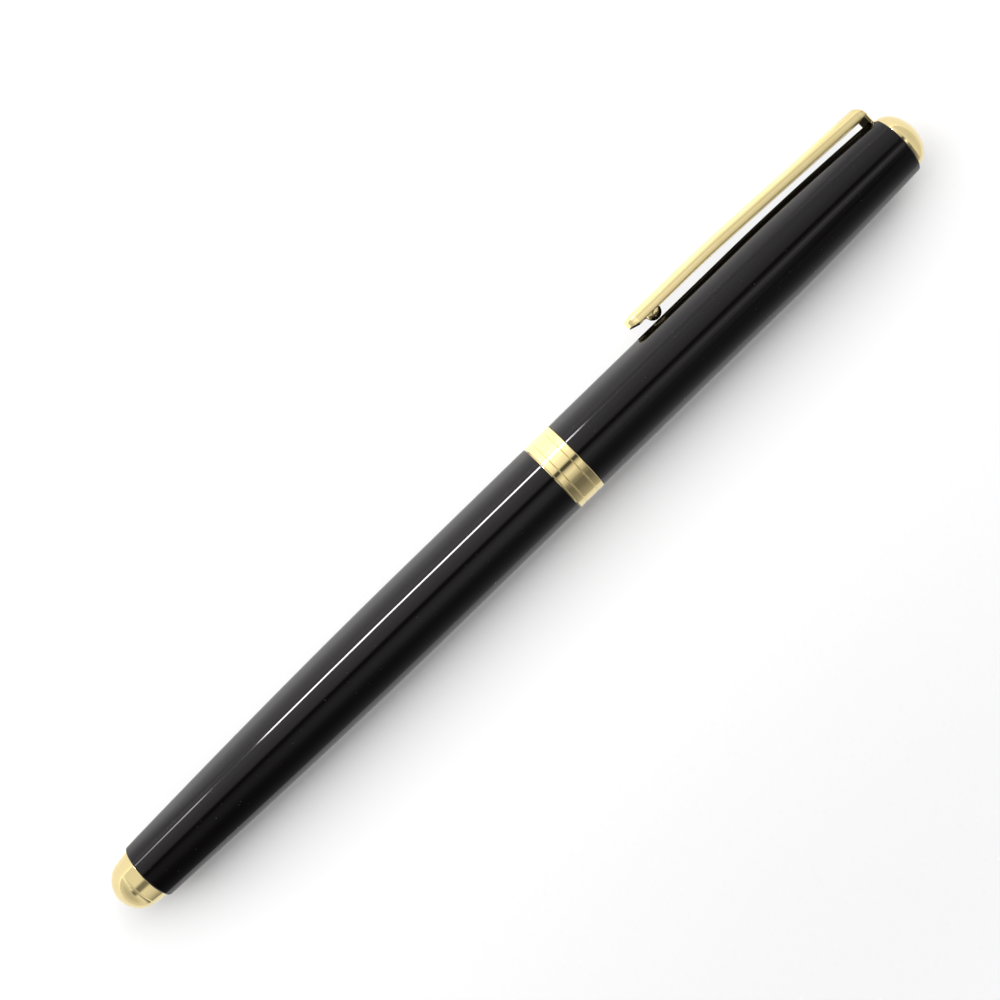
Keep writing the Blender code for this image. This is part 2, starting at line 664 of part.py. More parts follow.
def ink_reservoir(parent):
    back, front, radius = REFILL_TAIL_X + PLUG[0] + PLUG[1] + 0.5, RESERVOIR_END_X, RESERVOIR_RADIUS
    outline = [(back, 0.0), (back, radius), (front, radius), (front, 0.0)]
    turned("ink_reservoir", outline, fibre("reservoir fibre", (0.03, 0.03, 0.06)), parent)


def feed_holder(parent):
    """The plastic nose of the refill: a spigot, the seating shoulder and a cone around the tip."""
    back, front = HOLDER_X
    shoulder, seat = REFILL_SHOULDER_X - SHOULDER_LENGTH, REFILL_SHOULDER_X
    spigot, wick, tip = REFILL_RADIUS - REFILL_WALL - GAP, WICK_RADIUS + 2 * GAP, TIP_RADIUS + GAP
    outside = [(back, spigot), (shoulder, spigot), (shoulder, REFILL_RADIUS), (seat, REFILL_RADIUS)]
    outside += [(seat, HOLDER_CONE[0]), (front, HOLDER_CONE[1])]
    inside = [(back, wick), (TIP_X - GAP, wick), (TIP_X - GAP, tip), (front, tip)]
    sheath("feed_holder", outside, inside, plastic("holder plastic", (0.02, 0.02, 0.022)), parent)


def ink_wick(parent):
    """The fine rod that carries ink from the reservoir into the tip."""
    back, front, radius = RESERVOIR_END_X + GAP, WICK_END_X, WICK_RADIUS
    outline = [(back, 0.0), (back, radius), (front - radius / 2, radius), (front, radius / 2), (front, 0.0)]
    turned("ink_wick", outline, fibre("wick fibre", (0.02, 0.02, 0.05)), parent, SMALL_SEGMENTS)


def writing_tip(parent):
    """The turned steel tip: a tube around the wick, an ink channel and the ball's socket."""
    bore, channel, socket = WICK_RADIUS + 2 * GAP, 0.20, BALL_RADIUS + GAP
    lip_x = BALL_X + 0.16
    outside = [(TIP_X, TIP_RADIUS), (TIP_CONE_X - BREAK, TIP_RADIUS)]
    outside += [(TIP_CONE_X + BREAK, TIP_RADIUS - 2 * BREAK), (lip_x, TIP_END_RADIUS)]
    inside = [(TIP_X, bore), (WICK_END_X + 0.25, bore), (WICK_END_X + 0.25, channel)]
    inside += [(BALL_X - socket, channel), (BALL_X - socket, socket), (BALL_X, socket), (lip_x, BALL_RADIUS)]
    sheath("writing_tip", outside, inside, steel("tip steel"), parent, SMALL_SEGMENTS)


def rolling_ball(parent):
    outline = arc(0.0, 0.0, BALL_RADIUS, BALL_RADIUS, 180, 0, 6)
    turned("rolling_ball", outline, steel("ball carbide"), parent, BALL_SEGMENTS)


# ---- assembly ---------------------------------------------------------------------------------
def build():
    clear_scene()
    pen = frame("pen_axis", (0.0, AXIS_Y, AXIS_Z))

    thread_sleeve(pen)
    section_ring(pen)
    grip_section(pen)
    nose_cone(pen)

    refill = frame("refill_axis", (0.0, 0.0, 0.0), pen)
    refill_tube(refill)
    refill_plug(refill)
    ink_reservoir(refill)
    feed_holder(refill)
    ink_wick(refill)
    writing_tip(refill)
    rolling_ball(frame("rolling_ball_centre", (BALL_X, 0.0, 0.0), refill))

    spring = frame("spring_axis", (0.0, 0.0, 0.0), refill)
    refill_spring(spring)
    cup = frame("cup_axis", (0.0, 0.0, 0.0), spring)
    spring_cup(cup)
    barrel = frame("barrel_axis", (0.0, 0.0, 0.0), cup)
    barrel_tube(barrel)
    barrel_bush(barrel)
    barrel_finial(barrel)
    tail_insert(barrel)

    turn = frame("cap_turn_axis", (0.0, 0.0, 0.0), pen)
    snap_ring(turn)
    cap = frame("cap_axis", (0.0, 0.0, 0.0), turn)
    clip_side = frame("clip_side", (0.0, 0.0, 0.0), cap)
    clip_side.rotation_euler.x = -CLIP_ROLL
    cap_tube(cap, clip_side)
    cap_band(cap)
    cap_clutch(cap)
    inner_cap(cap)
    cap_finial(cap)
    cap_screw(cap)
    hinge = frame("clip_hinge", (*CLIP_HINGE, 0.0), clip_side)
    clip(clip_side, hinge)
    clip_ball(hinge)


build()
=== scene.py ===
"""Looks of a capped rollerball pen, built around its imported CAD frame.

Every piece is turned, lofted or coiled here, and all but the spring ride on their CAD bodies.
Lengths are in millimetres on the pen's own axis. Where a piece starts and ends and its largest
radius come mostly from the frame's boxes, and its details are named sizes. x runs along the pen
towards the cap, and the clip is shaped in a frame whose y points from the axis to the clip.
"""

import json
import math

import bmesh
import bpy
from mathutils import Matrix, Vector

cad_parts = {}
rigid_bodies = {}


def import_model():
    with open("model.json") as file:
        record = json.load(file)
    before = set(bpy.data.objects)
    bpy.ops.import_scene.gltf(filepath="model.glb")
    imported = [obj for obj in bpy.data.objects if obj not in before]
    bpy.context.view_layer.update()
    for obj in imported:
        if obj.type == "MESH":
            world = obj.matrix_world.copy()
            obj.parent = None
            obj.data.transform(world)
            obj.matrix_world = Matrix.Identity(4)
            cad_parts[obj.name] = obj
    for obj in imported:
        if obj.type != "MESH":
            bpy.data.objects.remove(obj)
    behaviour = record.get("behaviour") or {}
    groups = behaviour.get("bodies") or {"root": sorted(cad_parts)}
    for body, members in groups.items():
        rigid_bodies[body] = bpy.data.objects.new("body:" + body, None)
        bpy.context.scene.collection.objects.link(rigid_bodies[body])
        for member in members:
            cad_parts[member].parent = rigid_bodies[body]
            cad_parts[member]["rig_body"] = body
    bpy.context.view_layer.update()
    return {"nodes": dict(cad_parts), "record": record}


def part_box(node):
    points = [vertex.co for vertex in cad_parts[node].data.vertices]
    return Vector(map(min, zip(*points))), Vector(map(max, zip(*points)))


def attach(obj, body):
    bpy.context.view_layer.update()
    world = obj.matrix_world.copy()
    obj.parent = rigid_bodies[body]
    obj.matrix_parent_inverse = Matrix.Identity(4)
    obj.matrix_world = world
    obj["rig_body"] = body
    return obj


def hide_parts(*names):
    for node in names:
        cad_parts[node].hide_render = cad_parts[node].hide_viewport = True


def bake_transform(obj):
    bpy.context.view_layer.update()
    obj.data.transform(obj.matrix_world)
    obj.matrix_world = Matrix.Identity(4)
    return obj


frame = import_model()

MM = 0.001
SEGMENTS = 128  # facets around a large turned piece
SMALL_SEGMENTS = 64  # facets around a thin or hidden one
BALL_SEGMENTS = 48  # around the rolling ball
ON_AXIS = 1e-6  # a radius below this is a pole
GAP = 0.05  # clearance between pieces that sit on or in one another
SMOOTH_ANGLE = math.radians(32)
CLIP_ROLL = math.radians(28.85)  # how far the clip hangs below the horizontal
CLIP_SIDE = Matrix.Rotation(-CLIP_ROLL, 4, "X")  # from the clip's own frame to the pen's


# ---- read from the frame ----
SLOTS = {part["node"]: part["material_slot"] for part in frame["record"]["subparts"]}
BODIES = {node: node_object["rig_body"] for node, node_object in frame["nodes"].items()}


def span(node):
    """First and last x of a CAD node."""
    low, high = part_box(node)
    return low.x / MM, high.x / MM


def reach(node):
    """Largest radius of a turned CAD node."""
    low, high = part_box(node)
    return (high.z - low.z) / 2 / MM


def pen_axis():
    """The point of the pen's axis at x = 0, in metres."""
    low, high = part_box("barrel_tube")
    return Vector((0.0, (low.y + high.y) / 2, (low.z + high.z) / 2))


AXIS = pen_axis()

TAIL_X, MOUTH_X = span("barrel_tube")
BARREL_RADIUS = reach("barrel_tube")
BARREL_TAPER_X = TAIL_X + 45.61
BARREL_TAPER_DROP = 1.0
BARREL_WALL = 0.45
TAPER_POWER = 1.7
TUBE_BORE = 4.45

CAP_TOP_X = span("cap_tube")[1]
CAP_RADIUS = 5.03
CAP_TAPER_X = 43.0
CAP_TAPER_DROP = 0.72
CAP_WALL = 0.5
BAND_SPIGOT = 4.75
NOTCH_X, NOTCH_FLOOR, NOTCH_HALF = 64.9, 2.9, 2.3  # where the notch starts along, out and across

SECTION_X = span("grip_section")
SECTION_RADII = (reach("grip_section"), 3.65)
SECTION_BORE = 3.1
SLEEVE_SPIGOT = (3.45, 5.2)
NOSE_SPIGOT = (3.32, 4.0)
SNAP_WIRE = 0.15
SNAP_X = sum(span("snap_ring")) / 2
SNAP_MEAN = reach("snap_ring") - SNAP_WIRE
REFILL_SHOULDER_X = 47.0

THREAD_PITCH = 0.75
THREAD_TURNS = 6
THREAD_X = -0.9
THREAD_END_X = THREAD_X + THREAD_PITCH * THREAD_TURNS
RUN_OUT = 0.1  # length of plain tube beside the thread's ends


# ---- mesh helpers ----
def spaced(start, end, count):
    """count + 1 even steps from start to end."""
    return [start + (end - start) * i / count for i in range(count + 1)]


def radians(values):
    return [math.radians(value) for value in values]


def arc(centre_x, centre_r, radius_x, radius_r, start, end, count):
    """Points of an ellipse's arc; angles in degrees, 0 along +X and 90 outwards."""
    angles = radians(spaced(start, end, count))
    return [(centre_x + radius_x * math.cos(a), centre_r + radius_r * math.sin(a)) for a in angles]


def softened(corners, steps=5):
    """A closed outline from corners (x, radius) or (x, radius, rounding).

    A rounded corner becomes a short curve with one more point on each side, which keeps the long
    faces beside it flat under smooth shading.
    """
    points = []
    count = len(corners)
    for i, corner in enumerate(corners):
        here = Vector(corner[:2])
        before = Vector(corners[i - 1][:2]) - here
        after = Vector(corners[(i + 1) % count][:2]) - here
        wanted = corner[2] if len(corner) > 2 else 0.0
        size = min(wanted, 0.3 * before.length, 0.3 * after.length)
        if size < 0.003:
            points.append(tuple(here))
            continue
        before.normalize()
        after.normalize()
        points.append(tuple(here + before * size * 1.5))
        for k in spaced(0.0, 1.0, steps):
            start, end = here + before * size, here + after * size
            points.append(tuple((1 - k) ** 2 * start + 2 * k * (1 - k) * here + k * k * end))
        points.append(tuple(here + after * size * 1.5))
    return points


def groove(x, radius, half, depth, edge, floor):
    """Corners of a turned groove, with the roundings of its edges and its pointed floor."""
    return [(x - half, radius, edge), (x, radius - depth, floor), (x + half, radius, edge)]


def ring_at(bm, x, radius, segments):
    if radius < ON_AXIS:
        return [bm.verts.new((x, 0.0, 0.0))]
    angles = [math.tau * i / segments for i in range(segments)]
    return [bm.verts.new((x, radius * math.cos(a), radius * math.sin(a))) for a in angles]


def link_rings(bm, first, second):
    """Fills the strip between two rings; a ring of one point is a pole."""
    count = max(len(first), len(second))
    if count == 1:
        return
    for i in range(count):
        j = (i + 1) % count
        corners = [first[i % len(first)], first[j % len(first)]]
        corners += [second[j % len(second)], second[i % len(second)]]
        bm.faces.new(list(dict.fromkeys(corners)))


def add_object(name, bm, material=None, matrix=Matrix.Identity(4)):
    """Turns a mesh in millimetres on the pen's axis into an object of the row frame."""
    bmesh.ops.recalc_face_normals(bm, faces=bm.faces)
    bmesh.ops.transform(bm, matrix=matrix @ Matrix.Scale(MM, 4), verts=bm.verts)
    mesh = bpy.data.meshes.new(name)
    bm.to_mesh(mesh)
    bm.free()
    mesh.shade_smooth()
    mesh.set_sharp_from_angle(angle=SMOOTH_ANGLE)
    if material is not None:
        mesh.materials.append(material)
    obj = bpy.data.objects.new(name, mesh)
    obj.location = AXIS
    bpy.context.scene.collection.objects.link(obj)
    bpy.context.view_layer.update()
    return obj


def turned_mesh(outline, segments):
    bm = bmesh.new()
    rings = [ring_at(bm, x, radius, segments) for x, radius in outline]
    for first, second in zip(rings, rings[1:] + rings[:1]):
        link_rings(bm, first, second)
    return bm


def turned(name, outline, material, segments=SEGMENTS):
    """A closed outline of (x, radius) points turned about the pen's axis."""
    return add_object(name, turned_mesh(outline, segments), material)


def lofted_mesh(sections):
    """Closed sections with equal point counts; a section of one point closes an end as a pole."""
    bm = bmesh.new()
    rings = [[bm.verts.new(point) for point in section] for section in sections]
    for first, second in zip(rings, rings[1:]):
        link_rings(bm, first, second)
    for ring in (rings[0], rings[-1]):
        if len(ring) > 2:
            bm.faces.new(ring)
    return bm


def apply_boolean(obj, cutter, operation):
    """Cuts or joins another object into obj's own mesh and deletes the other object."""
    modifier = obj.modifiers.new("cut", "BOOLEAN")
    modifier.operation = operation
    modifier.solver = "EXACT"
    modifier.object = cutter
    bpy.context.view_layer.update()
    graph = bpy.context.evaluated_depsgraph_get()
    result = bpy.data.meshes.new_from_object(obj.evaluated_get(graph))
    obj.modifiers.clear()
    obj.data = result
    obj.data.shade_smooth()
    obj.data.set_sharp_from_angle(angle=SMOOTH_ANGLE)
    bpy.data.objects.remove(cutter, do_unlink=True)


def box(name, low, high, matrix=Matrix.Identity(4)):
    bm = bmesh.new()
    bmesh.ops.create_cube(bm, size=1.0)
    for vert in bm.verts:
        vert.co = [(a + b) / 2 + c * (b - a) for a, b, c in zip(low, high, vert.co)]
    return add_object(name, bm, matrix=matrix)


COIL_STEP = 1e-4  # share of the turns over which a wire's slope is taken


def coil_sections(radius, wire, start_x, rise, turns, sides, steps):
    """Round sections of a right-handed wire; rise(share) gives x from the share of its turns."""
    sections = []
    for share in spaced(0.0, 1.0, round(turns * steps)):
        a = math.tau * turns * share
        low, high = max(0.0, share - COIL_STEP), min(1.0, share + COIL_STEP)
        slope = (rise(high) - rise(low)) / ((high - low) * math.tau * turns)
        outwards = Vector((0.0, math.cos(a), math.sin(a)))
        along = Vector((slope, -radius * math.sin(a), radius * math.cos(a))).normalized()
        across = along.cross(outwards)
        centre = Vector((start_x + rise(share), 0.0, 0.0)) + radius * outwards
        angles = [math.tau * i / sides for i in range(sides)]
        ring = [centre + wire * (math.cos(b) * outwards + math.sin(b) * across) for b in angles]
        sections.append(ring)
    return sections


def stands_for(obj, node):
    """The piece takes the CAD node's place and rides on its body."""
    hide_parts(node)
    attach(obj, BODIES[node])


def threaded_piece(name, root, crest, offset, corners, node):
    """A tube with a one-start right-hand thread; corners outline its other faces."""
    rows, segments, steepness = 14, 96, 1.35
    bm = bmesh.new()
    rings = []
    for turn in spaced(0.0, THREAD_TURNS, THREAD_TURNS * rows):
        fade = min(1.0, turn, THREAD_TURNS - turn)
        x = THREAD_X + THREAD_PITCH * turn
        ring = []
        for a in [math.tau * i / segments for i in range(segments)]:
            phase = (turn - a / math.tau - offset) % 1.0
            ridge = min(1.0, steepness * (1.0 - 2.0 * min(phase, 1.0 - phase)))
            radius = root + (crest - root) * fade * ridge
            ring.append(bm.verts.new((x, radius * math.cos(a), radius * math.sin(a))))
        rings.append(ring)
    rest = [(THREAD_END_X + RUN_OUT, root)] + softened(corners) + [(THREAD_X - RUN_OUT, root)]
    rings += [ring_at(bm, x, radius, segments) for x, radius in rest]
    for first, second in zip(rings, rings[1:] + rings[:1]):
        link_rings(bm, first, second)
    stands_for(add_object(name, bm, LOOKS[SLOTS[node]]), node)


def turned_piece(name, corners, node, segments=SEGMENTS, cutters=()):
    """Rounded corners turned about the pen's axis, as the piece that stands for a CAD node."""
    piece = turned(name, softened(corners), LOOKS[SLOTS[node]], segments)
    for cutter in cutters:
        apply_boolean(piece, cutter, "DIFFERENCE")
    stands_for(piece, node)


# ---- materials ----
class Nodes:
    """Adds linked shader nodes to one tree."""

    def __init__(self, tree):
        self.tree = tree
        tree.nodes.clear()

    def add(self, kind, inputs=None, **settings):
        node = self.tree.nodes.new("ShaderNode" + kind)
        for name, value in settings.items():
            setattr(node, name, value)
        for key, value in (inputs or {}).items():
            if isinstance(value, bpy.types.NodeSocket):
                self.tree.links.new(value, node.inputs[key])
            else:
                node.inputs[key].default_value = value
        return node

    def math(self, operation, *values):
        return self.add("Math", dict(enumerate(values)), operation=operation).outputs[0]

    def times(self, first, second):
        return self.math("MULTIPLY", first, second)

    def ramp(self, factor, stops, smooth=False):
        """stops holds (position, value)."""
        node = self.add("ValToRGB", {0: factor})
        node.color_ramp.interpolation = "EASE" if smooth else "LINEAR"
        elements = node.color_ramp.elements
        while len(elements) < len(stops):
            elements.new(0.5)
        for element, (position, value) in zip(elements, stops):
            element.position = position
            element.color = (value, value, value, 1.0)
        return node.outputs["Color"]

    def noise(self, scale, stretch=(1.0, 1.0, 1.0), detail=3.0, rough=0.5):
        """Noise with that many features a metre, thinned or drawn out along the pen."""
        place = self.add("TexCoord").outputs["Object"]
        place = self.add("Mapping", {"Vector": place, "Scale": stretch}).outputs[0]
        inputs = {"Vector": place, "Scale": scale, "Detail": detail, "Roughness": rough}
        return self.add("TexNoise", inputs).outputs["Fac"]

    def rings(self, scale, waver=0.4):
        """Fine turning marks around the pen's axis."""
        place = self.add("TexCoord").outputs["Object"]
        inputs = {"Vector": place, "Scale": scale, "Distortion": waver, "Detail": 2.0}
        return self.add("TexWave", inputs, wave_type="BANDS", bands_direction="X").outputs["Fac"]

    def between(self, factor, low, high):
        """factor 0 to 1 spread over low to high."""
        inputs = {"Value": factor, "To Min": low, "To Max": high}
        return self.add("MapRange", inputs).outputs["Result"]

    def fade(self, value, start, end, smooth=False):
        """0 where value is start or short of it, 1 where it is end or past it."""
        inputs = {"Value": value, "From Min": start, "From Max": end}
        kind = "SMOOTHSTEP" if smooth else "LINEAR"
        return self.add("MapRange", inputs, interpolation_type=kind).outputs["Result"]

    def blend(self, factor, first, second):
        node = self.add("Mix", {0: factor}, data_type="RGBA")
        for socket, value in ((node.inputs[6], first), (node.inputs[7], second)):
            if isinstance(value, tuple):
                socket.default_value = (*value, 1.0)
            else:
                self.tree.links.new(value, socket)
        return node.outputs[2]

    def bump(self, height, distance):
        inputs = {"Height": height, "Strength": 1.0, "Distance": distance}
        return self.add("Bump", inputs).outputs["Normal"]

    def surface(self, **inputs):
        """The Principled shader, with underscores for the spaces in its inputs' names."""
        named = {}
        for key, value in inputs.items():
            named[key.replace("_", " ")] = (*value, 1.0) if isinstance(value, tuple) else value
        shader = self.add("BsdfPrincipled", named)
        self.add("OutputMaterial", {"Surface": shader.outputs[0]})


def new_material(name):
    made = bpy.data.materials.new(name)
    made.use_nodes = True
    return made, Nodes(made.node_tree)


def black_lacquer():
    """Deep gloss: a faint drawn-out ripple, fine orange peel, uneven polish and a few dust specks."""
    made, n = new_material("black_lacquer")
    ripple = n.noise(2600.0, (0.02, 1.0, 1.0), 2.0)
    peel = n.noise(900.0, detail=2.0)
    height = n.math("ADD", n.times(ripple, 0.35), n.times(peel, 0.65))
    cloud = n.noise(160.0, (0.4, 1.0, 1.0), 4.0)
    specks = n.math("GREATER_THAN", n.noise(5200.0, detail=0.0), 0.86)
    colour = n.blend(cloud, (0.0014, 0.0011, 0.0011), (0.0024, 0.002, 0.0019))
    colour = n.blend(n.times(specks, 0.25), colour, (0.16, 0.15, 0.14))
    rough = n.between(cloud, 0.02, 0.06)
    facing = n.add("LayerWeight", {"Blend": 0.5}).outputs["Facing"]
    ior = n.ramp(facing, [(0.15, 0.34), (0.45, 0.54), (0.52, 0.52), (0.72, 0.2), (1.0, 0.16)])
    finish = {"Specular_Tint": (1.0, 0.965, 1.0), "Normal": n.bump(height, 1.5e-6)}
    n.surface(Base_Color=colour, Roughness=rough, IOR=n.math("ADD", ior, 1.0), **finish)
    return made


def gilt():
    """Polished pale gold plate: a slight shift of tone, soft turning marks and rubbed patches."""
    made, n = new_material("gilt")
    tone = n.noise(260.0, detail=4.0)
    rubbed = n.noise(1100.0, (0.5, 1.0, 1.0), 5.0, 0.6)
    colour = n.blend(tone, (0.77, 0.62, 0.285), (0.82, 0.683, 0.355))
    colour = n.blend(n.between(rubbed, -0.15, 0.35), colour, (0.84, 0.735, 0.48))
    marks = n.rings(2600.0)
    height = n.math("ADD", n.times(marks, 0.3), rubbed)
    rough = n.between(rubbed, 0.03, 0.1)
    n.surface(Base_Color=colour, Metallic=1.0, Roughness=rough, Normal=n.bump(height, 0.8e-6))
    return made


def raw_brass():
    """Machined brass: clear turning marks and a dull brown tarnish in patches."""
    made, n = new_material("raw_brass")
    tarnish = n.ramp(n.noise(420.0, detail=5.0), [(0.38, 0.0), (0.72, 1.0)], smooth=True)
    colour = n.blend(tarnish, (0.66, 0.47, 0.19), (0.4, 0.25, 0.1))
    marks = n.rings(1500.0, 0.8)
    rough = n.math("ADD", n.between(tarnish, 0.22, 0.38), n.times(marks, 0.06))
    n.surface(Base_Color=colour, Metallic=1.0, Roughness=rough, Normal=n.bump(marks, 4.0e-6))
    return made


def steel():
    """Satin steel with fine marks around it and faint smudges."""
    made, n = new_material("steel")
    smudge = n.noise(300.0, detail=4.0)
    colour = n.blend(smudge, (0.52, 0.52, 0.54), (0.64, 0.64, 0.65))
    marks = n.noise(900.0, (6.0, 0.3, 0.3), 3.0, 0.6)
    rough = n.between(smudge, 0.17, 0.32)
    n.surface(Base_Color=colour, Metallic=1.0, Roughness=rough, Normal=n.bump(marks, 3.0e-6))
    return made


def carbide():
    """The sintered ball: a fine dark grain under a high polish."""
    made, n = new_material("carbide")
    grain = n.noise(9000.0, detail=4.0)
    colour = n.blend(grain, (0.36, 0.36, 0.38), (0.58, 0.58, 0.6))
    n.surface(Base_Color=colour, Metallic=1.0, Roughness=n.between(grain, 0.08, 0.22))
    return made


def moulded(name, dark, light, rough, subsurface=0.0):
    """Moulded plastic: a fine matt grain with slow waves of gloss."""
    made, n = new_material(name)
    flow = n.noise(220.0, (0.3, 1.0, 1.0), 3.0)
    grain = n.noise(7000.0, detail=3.0)
    colour = n.blend(flow, dark, light)
    inputs = {"Base_Color": colour, "Roughness": n.between(flow, rough - 0.07, rough + 0.07)}
    inputs["Normal"] = n.bump(grain, 2.5e-6)
    if subsurface:
        inputs["Subsurface_Weight"] = subsurface
        inputs["Subsurface_Scale"] = 0.4 * MM
    n.surface(**inputs)
    return made


def ink_fibre():
    """Bonded fibres running along the pen, wet with blue-black ink."""
    made, n = new_material("ink_fibre")
    strands = n.noise(6000.0, (0.05, 1.0, 1.0), 4.0, 0.7)
    wet = n.noise(350.0, detail=3.0)
    colour = n.blend(strands, (0.01, 0.011, 0.03), (0.06, 0.065, 0.13))
    rough = n.between(wet, 0.45, 0.95)
    n.surface(Base_Color=colour, Roughness=rough, Normal=n.bump(strands, 4.0e-5))
    return made


LOOKS = {
    "black_lacquer": black_lacquer(),
    "gilt": gilt(),
    "raw_brass": raw_brass(),
    "steel": steel(),
    "carbide": carbide(),
    "black_plastic": moulded("black_plastic", (0.022, 0.022, 0.024), (0.034, 0.034, 0.037), 0.42),
    "natural_plastic": moulded("natural_plastic", (0.7, 0.69, 0.64), (0.8, 0.79, 0.75), 0.4, 0.3),
    "ink_fibre": ink_fibre(),
}


# ---- barrel ----
def barrel_radius(x):
    run = max(0.0, (BARREL_TAPER_X - x) / (BARREL_TAPER_X - TAIL_X))
    return BARREL_RADIUS - BARREL_TAPER_DROP * run**TAPER_POWER


def barrel_bore(x):
    return min(TUBE_BORE, barrel_radius(x) - BARREL_WALL)


def barrel_shell():
    """The lacquered tube: level near its mouth, then a long curved taper to its tail."""
    edge = 0.22
    outside = [(TAIL_X, barrel_radius(TAIL_X), edge)]
    outside += [(x, barrel_radius(x)) for x in spaced(TAIL_X + 1.5, BARREL_TAPER_X, 40)]
    outside += [(MOUTH_X, BARREL_RADIUS, 0.1)]
    bore_end = BARREL_TAPER_X - 10.0
    inside = [(MOUTH_X, TUBE_BORE, 0.06)]
    inside += [(x, barrel_bore(x)) for x in spaced(bore_end, TAIL_X, 24)]
    turned_piece("barrel_shell", outside + inside, "barrel_tube")


def barrel_end():
    """The gilt end of the barrel: a short cone, a crease and a round end, on a turned stud."""
    tip_x, stud_end = span("barrel_finial")
    base, crease_x = TAIL_X - GAP, TAIL_X - 1.87
    cone, crease, stud = reach("barrel_finial"), 3.5, 1.0
    neck_x, neck = TAIL_X + 0.65, barrel_bore(TAIL_X) - GAP
    corners = arc(crease_x + 0.04, 0.0, crease_x + 0.04 - tip_x, crease - 0.02, 180, 91, 40)
    corners += [(crease_x + 0.07, crease + 0.035, 0.03), (base, cone, 0.1), (base, neck)]
    corners += [(neck_x, neck, 0.08), (neck_x, stud), (stud_end, stud, 0.15), (stud_end, 0.0)]
    turned_piece("barrel_end", corners, "barrel_finial")


def barrel_insert():
    """The brass plug that holds the barrel's gilt end."""
    start, end = span("tail_insert")
    outer, bore = reach("tail_insert"), 1.0 + GAP
    corners = [(start, outer, 0.12), (end, outer, 0.12), (end, bore, 0.1), (start, bore, 0.1)]
    turned_piece("barrel_insert", corners, "tail_insert")


def barrel_bush():
    """The threaded brass bush pressed into the barrel's mouth."""
    back, front = span("barrel_bush")
    crest, root, outer = 3.83, 4.07, reach("barrel_bush")
    corners = [(front, root, 0.1), (front, outer, 0.08), (back, outer, 0.08), (back, root, 0.1)]
    threaded_piece("barrel_thread_bush", root, crest, 0.5, corners, "barrel_bush")


def spring_seat():
    """The plastic cup that centres the spring: a rim around a post with a tapered end."""
    back, end = span("spring_cup")
    floor = span("refill_spring")[0] - GAP
    outer, wall, rim, post, taper = reach("spring_cup"), 0.4, 1.5, 1.55, 0.4
    corners = [(back, 0.0), (back, outer, 0.2), (back + rim, outer, 0.08)]
    corners += [(back + rim, outer - wall, 0.12), (floor, outer - wall, 0.12), (floor, post, 0.1)]
    corners += [(end - taper, post, 0.15), (end, post - taper, 0.15), (end, 0.0)]
    turned_piece("spring_seat", corners, "spring_cup", SMALL_SEGMENTS)


def spring_rise(share):
    """Share of the spring's length reached at a share of its turns: closer coils at both ends."""
    closed, pace = 0.18, 0.45  # share of the turns in each close end, and how slowly it climbs
    ease = min(1.0, min(share, 1.0 - share) / closed)
    swing = ease**2 * (3.0 - 2.0 * ease)
    near_end = pace * share if share < 0.5 else 1.0 - pace * (1.0 - share)
    return swing * share + (1.0 - swing) * near_end


def refill_coil():
    """The steel spring behind the refill. It runs from its cup to the refill."""
    start, end = span("refill_spring")
    wire, turns = 0.2, 5.5
    radius = reach("refill_spring") - wire
    length = end - start - 2 * wire

    def rise(share):
        return length * spring_rise(share)

    sections = coil_sections(radius, wire, start + wire, rise, turns, 14, 64)
    spring = add_object("refill_coil", lofted_mesh(sections), LOOKS["steel"])
    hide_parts("refill_spring")
    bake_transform(spring)


# ---- grip section ----
def section_radius(x):
    run = (x - SECTION_X[0]) / (SECTION_X[1] - SECTION_X[0])
    return SECTION_RADII[0] + (SECTION_RADII[1] - SECTION_RADII[0]) * run


def section_thread():
    """The brass sleeve with the male thread, ahead of a plain spigot inside the grip."""
    back, front = span("thread_sleeve")
    root, crest, spigot = 3.52, 3.76, SLEEVE_SPIGOT[0]
    shoulder = span("barrel_bush")[1] + GAP
    corners = [(shoulder, root, 0.05), (shoulder, spigot), (front, spigot, 0.08)]
    corners += [(front, SECTION_BORE, 0.08), (back, SECTION_BORE, 0.08), (back, root, 0.12)]
    threaded_piece("section_thread", root, crest, 0.0, corners, "thread_sleeve")


def section_collar():
    """The gilt ring between thread and grip, with a fine groove around its middle."""
    back, front = span("section_ring")
    outer, bore, middle = reach("section_ring"), SLEEVE_SPIGOT[0] + GAP, (back + front) / 2
    corners = [(back, outer, 0.12)] + groove(middle, outer, 0.12, 0.08, 0.03, 0.03)
    corners += [(front, outer, 0.25), (front, bore, 0.06), (back, bore, 0.06)]
    turned_piece("section_collar", corners, "section_ring")


def grip():
    """The black tube the fingers hold, with a groove for the snap ring."""
    back, front = SECTION_X
    half, floor = SNAP_WIRE + GAP, SNAP_MEAN - SNAP_WIRE - GAP
    sleeve, sleeve_end = SLEEVE_SPIGOT[0] + GAP, back + SLEEVE_SPIGOT[1] + GAP
    nose, nose_start = NOSE_SPIGOT[0] + GAP, front - NOSE_SPIGOT[1] - GAP
    corners = [(back, section_radius(back), 0.18), (SNAP_X - half, section_radius(SNAP_X), 0.05)]
    corners += [(SNAP_X - half, floor, 0.05), (SNAP_X + half, floor, 0.05)]
    corners += [(SNAP_X + half, section_radius(SNAP_X), 0.05), (front, section_radius(front), 0.05)]
    corners += [(front, nose, 0.05), (nose_start, nose), (nose_start, SECTION_BORE)]
    corners += [(sleeve_end, SECTION_BORE), (sleeve_end, sleeve), (back, sleeve, 0.05)]
    turned_piece("grip", corners, "grip_section")


